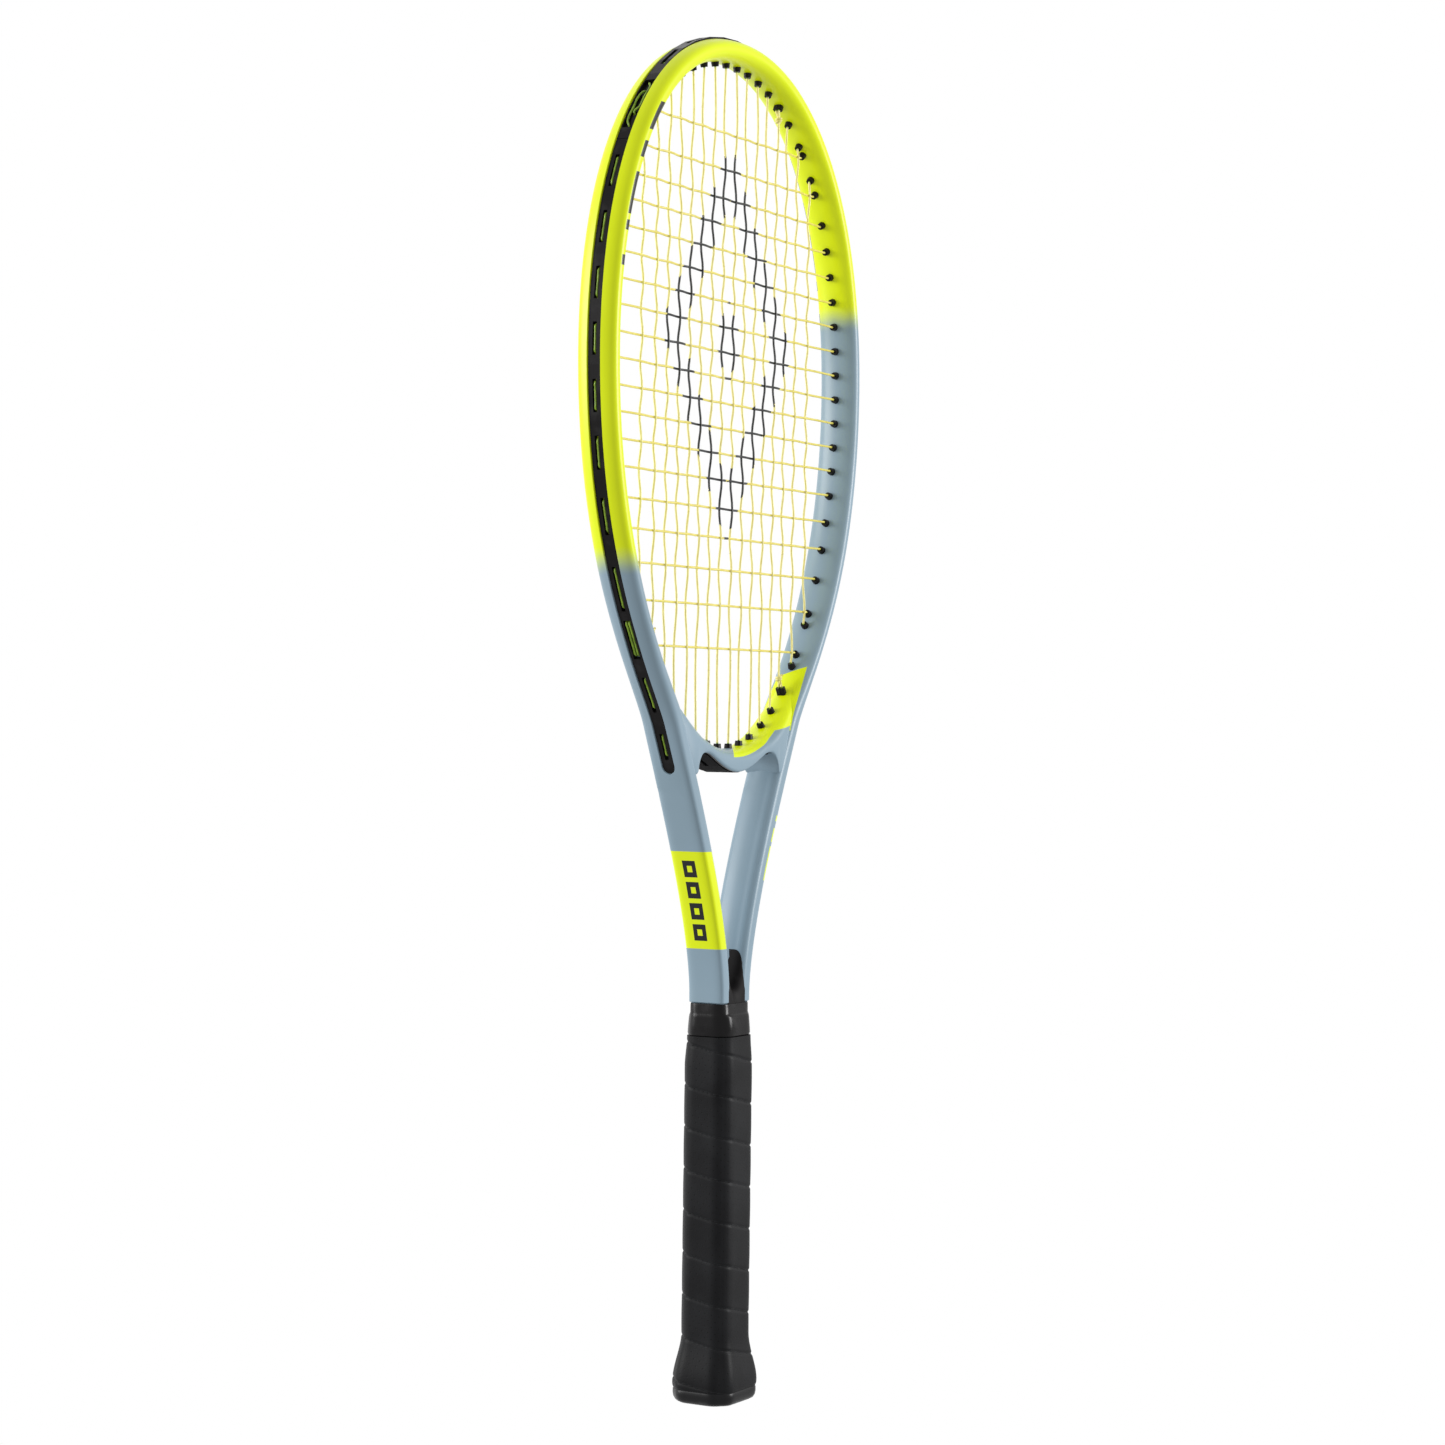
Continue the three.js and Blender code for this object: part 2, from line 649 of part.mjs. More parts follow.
// The cross string: from the top row down to the bottom one, from side to side.
function crossString() {
  const count = CROSSES.length;
  const points = [];
  const first = crossOf(1);
  const tie = mainOf(5, 1);
  const topKnot = onMain(tie, tie.top.turn.z - 5);
  points.push(topKnot.clone().add(V(0, 1.9, 0)), turnPoint(tie.top, SHARED.y));
  points.push(...outsideRun(tie.top, first.right, PASS, SHARED.y, 0));
  crosses.forEach((cross, i) => {
    const leftwards = i % 2 === 0;
    points.push(...crossRun(cross, leftwards));
    const next = crosses[i + 1];
    if (!next) return;
    const [from, to] = leftwards ? [cross.left, next.left] : [cross.right, next.right];
    const crowded = cross.row === 1 || next.row === count;
    points.push(...outsideRun(from, to, crowded ? PASS : 0));
  });
  const last = crossOf(count);
  const lastMain = mainOf(MAIN_COUNT, -1);
  const bottomKnot = onMain(lastMain, lastMain.bottom.turn.z + 3.6);
  points.push(...outsideRun(last.left, lastMain.bottom, -SHARED.y, -SHARED.y, -SHARED.y));
  points.push(turnPoint(lastMain.bottom, -SHARED.y), bottomKnot.clone().add(V(0, -1.9, 0)));
  return join([stringBody(points), knot(topKnot), knot(bottomKnot)]);
}

// ------------------------------------------------------------------- strips and the beam

const holeSize = (grommet, extra) =>
  grommet.shared ? [SHARED.outer[0] + extra, SHARED.outer[1] + extra] : BARREL.outer + extra;

const hole = (grommet) => bar(grommet.turn, grommet.floor, holeSize(grommet, 0.36));
const barrel = (grommet) =>
  bar(grommet.turn.clone().addScaledVector(grommet.way, BARREL.turn), grommet.root, holeSize(grommet, 0));
const bore = (grommet) => bar(grommet.turn, grommet.far, grommet.shared ? SHARED.bore : BARREL.bore);

// Slots that the outside runs of string lie in, as [from, to, half width].
function slots() {
  const list = [];
  for (const side of [-1, 1]) {
    for (const index of [1, 3, 5]) {
      const wide = index === 5 && side > 0;
      list.push([mainOf(index, side).top, mainOf(index + 1, side).top, wide ? SLOT.double : SLOT.single]);
    }
    list.push([mainOf(7, side).top, mainOf(8, side).top, SLOT.double]);
    list.push([mainOf(4, side).bottom, mainOf(5, side).bottom, SLOT.single]);
  }
  list.push([mainOf(6, -1).bottom, mainOf(7, -1).bottom, SLOT.single]);
  list.push([mainOf(6, 1).bottom, mainOf(8, 1).bottom, SLOT.double]);
  list.push([mainOf(8, -1).bottom, crossOf(CROSSES.length).left, SLOT.shared]);
  list.push([mainOf(5, 1).top, crossOf(1).right, SLOT.double]);
  for (let row = 1; row < CROSSES.length; row++) {
    const crowded = row === 1 || row === CROSSES.length - 1;
    const end = row % 2 === 1 ? "left" : "right";
    list.push([crossOf(row)[end], crossOf(row + 1)[end], crowded ? SLOT.double : SLOT.single]);
  }
  return list;
}

const SLOT_END = 1.15; // a slot runs this far past the middle of its end grommets

function slotBody([from, to, half]) {
  const sign = Math.sign(to.s - from.s);
  const floor = -CHANNEL.deep + GAP + STRIP.base;
  return barOnBeam(from.s - sign * SLOT_END, to.s + sign * SLOT_END, floor, CLEAR, half);
}

// A strip in the beam's channel from s0 to s1, with a barrel for each grommet there.
function strip(s0, s1, proud) {
  const inside = (grommet) => !grommet.bridge && grommet.s > Math.min(s0, s1) && grommet.s < Math.max(s0, s1);
  const own = grommets.filter(inside);
  const foot = Math.max(Math.abs(s0), Math.abs(s1));
  const roundEnd = foot === stripEnd ? stripEnd : Infinity;
  const blank = barOnBeam(s0, s1, -CHANNEL.deep + GAP, proud, STRIP.half, roundEnd);
  const whole = join([blank, ...own.map(barrel)]);
  const near = slots().filter(([a, b]) => inside(a) || inside(b));
  return cut(whole, [...near.map(slotBody), ...own.map(bore)]);
}

// The guard stands proud round the tip and sinks level with the side strips further down.
function guardHeight(s) {
  const down = (Math.abs(s) - GUARD_FLUSH.from) / (GUARD_FLUSH.to - GUARD_FLUSH.from);
  return mix(GUARD_PROUD, -STRIP.sink, Math.min(1, Math.max(0, down)));
}

function throatStrip() {
  const own = grommets.filter((grommet) => grommet.bridge);
  const { reach, half, proud } = THROAT_STRIP;
  const blank = barUnderBridge(-reach, reach, -proud, CHANNEL.deep - GAP, half);
  const whole = join([blank, ...own.map(barrel)]);
  const floor = CHANNEL.deep - GAP - STRIP.base;
  const runs = [[-MAINS[0], MAINS[0]], [MAINS[1], MAINS[2]], [-MAINS[2], -MAINS[1]]];
  const grooves = runs.map(([a, b]) => barUnderBridge(a - SLOT_END, b + SLOT_END, -2, floor, SLOT.single));
  return cut(whole, [...grooves, ...own.map(bore)]);
}

// A bar laid along the bridge's underside between two heights over it.
function barUnderBridge(x0, x1, low, high, half) {
  const count = Math.max(2, Math.ceil((x1 - x0) / 6.2));
  const rings = Array.from({ length: count + 1 }, (_, i) => {
    const x = mix(x0, x1, i / count);
    const z = underBridge(x);
    return [V(x, -half, z + low), V(x, -half, z + high), V(x, half, z + high), V(x, half, z + low)];
  });
  return solid(loft(rings));
}

function frame() {
  const end = sAtHeight(CHANNEL.end);
  const channel = barOnBeam(-end, end, -CHANNEL.deep, CLEAR, CHANNEL.half, end);
  const holes = grommets.filter((grommet) => !grommet.bridge).map(hole);
  return cut(beamBody(0), [channel, ...holes]);
}

function throatBridge(fatBeam) {
  const blank = plate(bridgeOutline(), BRIDGE.depth, BRIDGE.bevel);
  const reach = THROAT_STRIP.reach + GAP;
  const channel = barUnderBridge(-reach, reach, -3, CHANNEL.deep, THROAT_STRIP.half + GAP);
  const lower = mains.map((main) => main.bottom).filter((grommet) => grommet.bridge || grommet.turn.z < 372);
  return cut(blank, [fatBeam, channel, ...lower.map(hole)]);
}

// The filler between the arms over the handle: a saddle that climbs both arms.
function shaftWedge(fatBeam) {
  const [foot, dip, horn] = [190.5, 209, 227];
  const saddle = new THREE.CubicBezierCurve(P(0, dip), P(4.2, dip), P(5.9, 216), P(6.6, horn));
  const right = [P(8, foot), P(11, 205), P(14, horn), ...saddle.getPoints(7).reverse()];
  const left = right.slice(0, -1).map((point) => P(-point.x, point.y)).reverse();
  const blank = plate([...right, ...left], 18.2, 1);
  const arch = new THREE.CubicBezierCurve(P(9.8, foot - 5), P(9.8, 212), P(8.6, horn), P(0, horn + 1));
  const half = arch.getPoints(8);
  const outline = [...half, ...half.slice(0, -1).map((point) => P(-point.x, point.y)).reverse()];
  const hood = solid(
    new THREE.ExtrudeGeometry(new THREE.Shape(outline), { depth: 40, bevelEnabled: false })
      .translate(0, 0, -20)
      .rotateX(Math.PI / 2)
      .rotateZ(Math.PI / 2),
  );
  return cut(blank.intersect(hood), [fatBeam]);
}

// ------------------------------------------------------------------------------- handle

// Ring of an octagon [half width, half depth, corner cut] at height z.
function octagon([a, b, c], z) {
  const quarter = [[a, b - c], [a - c, b]];
  const half = [...quarter, ...quarter.map(([x, y]) => [-x, y]).reverse()];
  return [...half, ...half.map(([x, y]) => [-x, -y])].map(([x, y]) => V(x, y, z));
}

// Closed sleeve between two stacks of octagons, each a list of [octagon, height], upwards.
function sleeve(outside, inside) {
  const rings = [...outside, ...[...inside].reverse()].map(([shape, z]) => octagon(shape, z));
  return solid(loft(rings, true));
}

const stack = (list) => solid(loft(list.map(([shape, z]) => octagon(shape, z))));

// Outer surface of the grip, from the flare at the butt up to the collar.
const GRIP_OUTSIDE = [
  [[20.1, 17.3, 7], 6.6],
  [[20.3, 17.5, 7], 9.5],
  [[19.2, 16.5, 6.6], 17],
  [[17, 14.9, 5.8], 24.5],
  [GRIP_FACE, 32],
  [GRIP_FACE, 168],
  [GRIP_TOP_FACE, 184.1],
];
const GRIP_END = [13.3, 11.5, 4.3]; // its thinned end under the collar

function grip() {
  const end = [[GRIP_END, 184.3], [GRIP_END, GRIP.top]];
  const thin = grow(GRIP_END, -0.65);
  const inside = GRIP_OUTSIDE.slice(0, -1).map(([shape, z]) => [grow(shape, -GRIP.thick), z]);
  return sleeve([...GRIP_OUTSIDE, ...end], [...inside, [thin, 182], [thin, GRIP.top]]);
}

function finishingTape() {
  const shape = grow(GRIP_END, GAP);
  const outer = grow(shape, 0.3);
  return sleeve([[outer, 184.7], [outer, GRIP.top]], [[shape, 184.7], [shape, GRIP.top]]);
}

function collar() {
  const skirt = grow(GRIP_END, 2 * GAP + 0.3);
  const lipInside = [SHAFT.x + 3.8 + GAP, 9.3 + GAP, 1.6];
  const outside = [
    [[15, 12.9, 5], COLLAR.bottom],
    [[14.8, 12.3, 4.8], 192],
    [[14.7, 12, 4.6], COLLAR.shoulder - 0.6],
    [[14.5, 10.6, 3.1], COLLAR.shoulder],
    [[14.5, 10.5, 3], COLLAR.top],
  ];
  const inside = [
    [skirt, COLLAR.bottom],
    [skirt, 189],
    [[14, 10.2, 3], 193.5],
    [lipInside, 197],
    [lipInside, COLLAR.top],
  ];
  return sleeve(outside, inside);
}

// Outer surface of the butt cap from its flange up, under the grip.
const capFace = (shape) => grow(shape, -GRIP.thick - GAP);
const CAP_WALL = capFace(GRIP_FACE);
const CAP_HOLLOW = [12.3, 10.3, 4];

function buttCap() {
  const flange = [20, 17.2, 7];
  const outside = [
    [[16.8, 14.2, 5.9], 0],
    [[18.9, 16.2, 6.6], 1.2],
    [flange, 3.6],
    [flange, CAP.flange],
    [capFace(GRIP_OUTSIDE[0][0]), CAP.flange + 0.1],
    ...GRIP_OUTSIDE.slice(1, 5).map(([shape, z]) => [capFace(shape), z]),
    [CAP_WALL, CAP.top],
  ];
  const hollow = stack([[CAP_HOLLOW, CAP.floor], [CAP_HOLLOW, CAP.top + 5]]);
  const room = CAP.badgeRadius + GAP;
  const recess = new THREE.CylinderGeometry(room, room, 2 * CAP.badgeDeep, 24);
  return cut(stack(outside), [hollow, solid(recess.rotateX(Math.PI / 2)), ...staplePlaces().map(stapleRoom)]);
}

function buttBadge() {
  const [low, high] = [0.5, CAP.badgeDeep - GAP];
  const rim = CAP.badgeRadius;
  const profile = [P(0, low), P(rim - 0.8, low), P(rim, low + 0.5), P(rim, high), P(0, high)];
  return solid(new THREE.LatheGeometry(profile, 24).rotateX(Math.PI / 2));
}

// Both pallets as one block round the arms' ends, before it is split.
function palletBlock(fatBeam) {
  const spigot = grow(CAP_HOLLOW, -GAP);
  const top = [12.35, 10.55, 3.95];
  const outside = [
    [spigot, PALLET.bottom],
    [spigot, PALLET.step - 0.1],
    [CAP_WALL, PALLET.step],
    [CAP_WALL, 168],
    [top, 181.5],
    [top, PALLET.top],
  ];
  return cut(stack(outside), [fatBeam, ...staplePlaces().map(stapleRoom)]);
}

function pallet(block, side) {
  const half = box(V(-30, 0.15, -10), V(30, 30, 300));
  return block.intersect(side < 0 ? half.rotate([0, 0, 180]) : half);
}

// Staples that pin the butt cap to the pallets, two in each broad face.
function staplePlaces() {
  const places = [];
  for (const [face, front] of [["front", -1], ["back", 1]])
    for (const [hand, x] of [["left", -STAPLE.offset], ["right", STAPLE.offset]])
      places.push({ name: `cap_staple_${face}_${hand}`, x, front });
  return places;
}

function stapleShape({ x, front }, extra) {
  const { width, wire, length, z } = STAPLE;
  const skin = CAP_WALL[1] - (extra > 0 ? 0 : 0.1);
  const wireBox = (x0, x1, deep) => {
    const [near, far] = [front * (skin + (extra > 0 ? 1 : 0)), front * (skin - deep - extra)];
    const low = V(x0 - extra, Math.min(near, far), z - wire / 2 - extra);
    return box(low, V(x1 + extra, Math.max(near, far), z + wire / 2 + extra));
  };
  const [left, right] = [x - width / 2, x + width / 2];
  const back = wireBox(left, right, wire);
  return join([back, wireBox(left, left + wire, length), wireBox(right - wire, right, length)]);
}

const stapleRoom = (place) => stapleShape(place, GAP);

// ----------------------------------------------------------------------------- assembly

function material(color, roughness, metalness = 0) {
  return new THREE.MeshStandardMaterial({ color, roughness, metalness });
}

const PAINT = material(0xdff000, 0.35);
const GREY = material(0x8fa8b4, 0.38);
const BLACK = material(0x17181a, 0.4);
const RUBBER = material(0x121214, 0.3);
const LEATHER = material(0x222224, 0.62);
const FOAM = material(0x3a3a3c, 0.9);
const STRING = material(0xe2cc66, 0.3);
const STEEL = material(0xb8bcc0, 0.3, 1);

function part(name, manifold, look) {
  const mesh = new THREE.Mesh(geometryOf(manifold), look);
  mesh.name = name;
  return mesh;
}

function group(...parts) {
  const holder = new THREE.Group();
  holder.add(...parts);
  return holder;
}

const fatBeam = beamBody(GAP);
const jointS = sAtHeight(STRIP.joint);
const stripEnd = sAtHeight(STRIP.end);
const block = palletBlock(fatBeam);

const head = group(
  part("frame", frame(), PAINT),
  part("throat_bridge", throatBridge(fatBeam), GREY),
  part("shaft_wedge", shaftWedge(fatBeam), RUBBER),
  part("head_guard", strip(-jointS, jointS, guardHeight), BLACK),
  part("side_strip_left", strip(-stripEnd, -jointS - GAP, -STRIP.sink), BLACK),
  part("side_strip_right", strip(jointS + GAP, stripEnd, -STRIP.sink), BLACK),
  part("throat_strip", throatStrip(), BLACK),
);
const bed = group(part("main_string", mainString(), STRING), part("cross_string", crossString(), STRING));
const handle = group(
  part("pallet_front", pallet(block, -1), FOAM),
  part("pallet_back", pallet(block, 1), FOAM),
  part("butt_cap", buttCap(), BLACK),
  part("butt_badge", buttBadge(), BLACK),
  ...staplePlaces().map((place) => part(place.name, stapleShape(place, 0), STEEL)),
  part("grip", grip(), LEATHER),
  part("finishing_tape", finishingTape(), BLACK),
  part("collar", collar(), RUBBER),
);

export default group(head, bed, handle);
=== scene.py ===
"""The looks of a strung tennis racket that stands on its butt cap.

Sizes are worked out in millimetres and put into meshes in metres. Z runs up the racket,
X across the string bed and Y through it, with the front at -Y.
"""

import math
from bisect import bisect

import bmesh
import bpy
from mathutils import Matrix, Vector, geometry


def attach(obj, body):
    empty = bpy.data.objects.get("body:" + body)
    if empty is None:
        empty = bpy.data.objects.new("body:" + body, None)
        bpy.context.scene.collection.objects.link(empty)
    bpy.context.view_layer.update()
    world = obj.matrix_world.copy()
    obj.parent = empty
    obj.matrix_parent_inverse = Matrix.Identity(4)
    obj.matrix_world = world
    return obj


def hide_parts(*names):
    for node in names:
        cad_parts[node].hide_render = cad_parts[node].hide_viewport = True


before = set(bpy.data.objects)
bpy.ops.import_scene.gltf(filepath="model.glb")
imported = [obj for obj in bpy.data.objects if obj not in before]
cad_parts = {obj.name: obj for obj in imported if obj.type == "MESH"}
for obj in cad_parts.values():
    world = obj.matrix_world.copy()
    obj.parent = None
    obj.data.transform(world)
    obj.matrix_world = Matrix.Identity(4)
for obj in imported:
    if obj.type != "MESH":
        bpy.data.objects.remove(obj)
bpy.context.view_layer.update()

MM = 0.001

# ------------------------------------------------------------------ the racket's numbers

TIP = 679.2  # the beam's centreline at the tip of the head
SIDE = (121.5, 519.5)
YOKE = (58.2, 342.2)
SHAFT = (9.5, 204.0)
LEG = (6.2, 187.0)
BEAM_WIDTH = [
    (187, 9.2), (197, 7.6), (201, 7.6), (201.2, 10), (300, 10.2),
    (345, 11), (385, 9.4), (440, 10.5), (560, 10.4), (TIP, 11),
]
BEAM_DEPTH = [
    (187, 18), (197, 18.6), (201, 18.6), (201.2, 20.6), (320, 20.8), (420, 21.8), (600, 22), (TIP, 21.4),
]
CHANNEL_DEEP = 3.2
CHANNEL_HALF = 3.6
CHANNEL_END = 318.2
STRIP_RISE = 0.8  # strip's floor over the channel's floor
BOXY = (300, 372)  # heights between which the arms' boxy section turns into the head's oval

MAINS = [5.5, 16.2, 27, 37.6, 48.2, 59, 70.3, 83.4]
TOP_CROSS = 638.6
CROSS_GAPS = [18.3, 14.8, 13, 13] + [12.8] * 8 + [13.2, 14.5, 14.6, 16.2, 17.9, 21.7]
ARM_EXITS = {4: 326.5, 5: 337, 6: 350.5, 7: 364.5}  # heights where these mains leave the arms
ROOM = 2.7  # from the head's inner wall to where a string turns
STRING_RADIUS = 0.6
WEAVE = 0.62  # how far a string leans out of the middle plane at each crossing
SHARED = 0.86  # place of a string through the depth of a grommet that holds two
PASS = 1.6  # sideways room that a string takes to pass another one's grommet
LANE_RUN = 3.2  # length in which it moves there
COLLAR_CONE = (2.1, 1.8, 2.6)  # radius at a grommet collar's root, radius at its rim, and its height

BRIDGE_TOP = 328.7
BRIDGE_FOOT = 317
BRIDGE_REACH = 66
BRIDGE_FILLET = (40.9, 316)  # across and up: where the bridge's underside runs into the arm
BRIDGE_HALF = 10.2  # half its depth in the middle
THROAT_CHANNEL = (34.3, 7.7)  # how far the channel under the bridge reaches, and half its width

GRIP_PITCH = 21.1
GRIP_PHASE = 0.07  # part of a turn by which the wrap is set round
GRIP_RINGS = 330
GRIP_LINING = (330, 47, 33, 19, 0)  # rings that the grip's inner skin follows, from the top down
GRIP_SKIN = 0.88  # the inner skin's share of the outer one's size
GRIP_STACK = [
    ((20.1, 17.3, 7), 6.6),
    ((20.3, 17.5, 7), 9.5),
    ((16, 14, 5.3), 34),
    ((16, 14, 5.3), 168),
    ((15.2, 13.2, 5), 184.1),
]


# --------------------------------------------------------------------------- small maths

def mix(a, b, f):
    return a + (b - a) * f


def step(low, high, value):
    f = min(1, max(0, (value - low) / (high - low)))
    return f * f * (3 - 2 * f)


def at_height(table, z):
    for (low, before), (high, after) in zip(table, table[1:]):
        if z <= high:
            return mix(before, after, max(0, (z - low) / (high - low)))
    return table[-1][1]


def arc(a, b, c, d, count):
    """Points of a cubic curve with ends a and d and handles b and c."""
    corners = [Vector((x, z, 0)) for x, z in (a, b, c, d)]
    return [(p.x, p.y) for p in geometry.interpolate_bezier(*corners, count)]


# ------------------------------------------------------------------- the beam's centreline

def centreline():
    """Fine points of the right half as (distance, x, z, outward x, outward z)."""
    line = arc((0, TIP), (71.7, TIP), (SIDE[0], 614.8), SIDE, 300)
    line += arc(SIDE, (SIDE[0], 411), (67.1, 360.6), YOKE, 240)[1:]
    line += arc(YOKE, (38.3, 301), (SHAFT[0], 238), SHAFT, 200)[1:]
    line += arc(SHAFT, (SHAFT[0], 200), (SHAFT[0], 200), (SHAFT[0], 197), 8)[1:]
    line += arc((SHAFT[0], 197), (SHAFT[0], 193), (LEG[0], 191), LEG, 20)[1:]
    rows = []
    distance = 0
    for i, (x, z) in enumerate(line):
        before = line[max(i - 1, 0)]
        after = line[min(i + 1, len(line) - 1)]
        dx, dz = after[0] - before[0], after[1] - before[1]
        length = math.hypot(dx, dz)
        if i:
            distance += math.hypot(x - before[0], z - before[1])
        rows.append((distance, x, z, -dz / length, dx / length))
    rows[0] = (0, 0, TIP, 0, 1)
    return rows


LINE = centreline()
PLACES = [row[0] for row in LINE]


def beam_at(s):
    """(x, z, outward x, outward z, half width, half depth) at s; negative s is the left side."""
    sign = -1 if s < 0 else 1
    i = min(max(bisect(PLACES, abs(s)), 1), len(LINE) - 1)
    before, after = LINE[i - 1], LINE[i]
    f = min(1, (abs(s) - before[0]) / (after[0] - before[0]))
    x, z, nx, nz = (mix(before[k], after[k], f) for k in (1, 2, 3, 4))
    return sign * x, z, sign * nx, nz, at_height(BEAM_WIDTH, z) / 2, at_height(BEAM_DEPTH, z) / 2


def on_beam(s, outward, y):
    x, z, nx, nz, _, _ = beam_at(s)
    return Vector((x + nx * outward, y, z + nz * outward))


def nearest(x, z):
    """Distance along the beam of its centreline's nearest point to (x, z), and how far outside that lies."""
    row = min(LINE, key=lambda r: (abs(x) - r[1]) ** 2 + (z - r[2]) ** 2)
    outside = (abs(x) - row[1]) * row[3] + (z - row[2]) * row[4]
    return (-row[0] if x < 0 else row[0]), outside


def s_at_height(z):
    return next(row[0] for row in LINE if row[2] <= z)


# --------------------------------------------------------------------------- throat bridge

BRIDGE_LINE = arc((101.9, 430), (77.7, 377.3), (52.7, BRIDGE_TOP), (0, BRIDGE_TOP), 200)
ARCH_LINE = arc((0, BRIDGE_FOOT), (9, BRIDGE_FOOT), (18, 321.5), (26, 325.2), 30)
ARCH_LINE += arc((26, 325.2), (33, 328.4), (39.6, 327.4), (41, 316), 16)[1:]


def over_bridge(x, inside):
    for (ax, az), (bx, bz) in zip(BRIDGE_LINE, BRIDGE_LINE[1:]):
        length = math.hypot(bx - ax, bz - az)
        tx, tz = (bx - ax) / length, (bz - az) / length
        start, end = ax + tz * inside, bx + tz * inside
        if (start - x) * (end - x) <= 0:
            return mix(az, bz, (x - start) / (end - start)) - tx * inside
    return BRIDGE_TOP + inside


def under_bridge(x):
    for (ax, az), (bx, bz) in zip(ARCH_LINE, ARCH_LINE[1:]):
        if ax <= abs(x) <= bx:
            return mix(az, bz, (abs(x) - ax) / (bx - ax))
    return ARCH_LINE[-1][1]


# -------------------------------------------------------------------------------- grommets

class Grommet:
    """Where a string turns, the way it leaves the head, and its mouth in the slot outside."""

    def __init__(self, turn, way, y=0.0, under=False):
        self.turn = turn
        self.way = way
        self.y = y
        self.under = under
        if under:
            self.mouth = Vector((turn.x, 0, under_bridge(turn.x) + CHANNEL_DEEP - STRIP_RISE))
        else:
            self.mouth = self.reach(STRIP_RISE - CHANNEL_DEEP)
        self.s = nearest(self.mouth.x, self.mouth.z)[0]
        self.root = self.turn + self.way * ROOM

    def reach(self, height):
        near, far = 0, 45
        for _ in range(30):
            middle = (near + far) / 2
            point = self.turn + self.way * middle
            s, outside = nearest(point.x, point.z)
            if outside < beam_at(s)[4] + height:
                near = middle
            else:
                far = middle
        return self.turn + self.way * near


TURN_LINE = [
    (x - nx * (at_height(BEAM_WIDTH, z) / 2 + ROOM), z - nz * (at_height(BEAM_WIDTH, z) / 2 + ROOM), z)
    for _, x, z, nx, nz in LINE
]


def turn_at_x(x, upper):
    line = [row for row in TURN_LINE if (row[2] > SIDE[1]) == upper]
    for a, b in zip(line, line[1:]):
        if (a[0] - x) * (b[0] - x) <= 0 and a[0] != b[0]:
            return mix(a[1], b[1], (x - a[0]) / (b[0] - a[0]))
    return 0


def turn_at_height(z):
    for a, b in zip(TURN_LINE, TURN_LINE[1:]):
        if a[1] > z >= b[1] and a[0] > 40:
            return mix(a[0], b[0], (z - a[1]) / (b[1] - a[1]))
    return 0


def square_grommet(turn, y=0.0):
    _, _, nx, nz, _, _ = beam_at(nearest(turn.x, turn.z)[0])
    return Grommet(turn, Vector((nx, 0, nz)).normalized(), y)


def main_bottom(index, side):
    x = MAINS[index - 1]
    height = over_bridge(x, ROOM) if x < BRIDGE_REACH else turn_at_x(x, False)
    turn = Vector((side * x, 0, height))
    if index <= 3:
        return Grommet(turn, Vector((0, 0, -1)), under=True)
    if index in ARM_EXITS:
        s = s_at_height(ARM_EXITS[index])
        target = on_beam(side * s, beam_at(s)[4] - 2, 0)
        return Grommet(turn, (target - turn).normalized(), SHARED if (side, index) == (1, 6) else 0)
    return square_grommet(turn, SHARED if side < 0 else 0)


MAIN_COUNT = len(MAINS)
CROSS_COUNT = len(CROSS_GAPS) + 1


class Main:
    def __init__(self, index, side):
        self.index = index
        self.side = side
        self.x = side * MAINS[index - 1]
        top = Vector((self.x, 0, turn_at_x(MAINS[index - 1], True)))
        self.top = square_grommet(top, -SHARED if (side, index) == (1, 5) else 0)
        self.bottom = main_bottom(index, side)
        self.column = MAIN_COUNT + (1 - index if side < 0 else index)


class Cross:
    def __init__(self, row, z):
        self.row = row
        self.z = z
        x = turn_at_height(z)
        self.left = square_grommet(Vector((-x, 0, z)), -SHARED if row == CROSS_COUNT else 0)
        self.right = square_grommet(Vector((x, 0, z)))


mains = [Main(index, -1) for index in range(MAIN_COUNT, 0, -1)]
mains += [Main(index, 1) for index in range(1, MAIN_COUNT + 1)]
crosses = [Cross(row + 1, TOP_CROSS - sum(CROSS_GAPS[:row])) for row in range(CROSS_COUNT)]
grommets = [end for main in mains for end in (main.top, main.bottom)]
grommets += [end for cross in crosses for end in (cross.left, cross.right)]


def meets(main, cross):
    inside = abs(main.x) < cross.right.turn.x - 1
    return inside and main.bottom.turn.z + 1 < cross.z < main.top.turn.z - 1


def main_in_front(main, cross):
    return (main.column + cross.row) % 2 == 0


# --------------------------------------------------------------------------------- strings

def turn_point(grommet, y=None):
    """A grommet's inner turning point, at the string's own place through it unless y is given."""
    return Vector((grommet.turn.x, grommet.y if y is None else y, grommet.turn.z))


def main_run(main):
    """Points of a main inside the head, from its top turn to its bottom one."""
    met = [cross for cross in crosses if meets(main, cross)]
    woven = [Vector((main.x, -WEAVE if main_in_front(main, cross) else WEAVE, cross.z)) for cross in met]
    return [turn_point(main.top)] + woven + [turn_point(main.bottom)]


def cross_run(cross):
    met = [main for main in mains if meets(main, cross)]
    woven = [Vector((main.x, WEAVE if main_in_front(main, cross) else -WEAVE, cross.z)) for main in met]
    return [turn_point(cross.left)] + woven + [turn_point(cross.right)]


def through(grommet, y):
    """Points down a grommet's bore, from the turn to the mouth."""
    out = Vector((0, y, 0))
    start = grommet.turn + grommet.way * 1.6 + out
    return [start, grommet.turn.lerp(grommet.mouth, 0.6) + out, grommet.mouth - grommet.way * 0.8 + out]


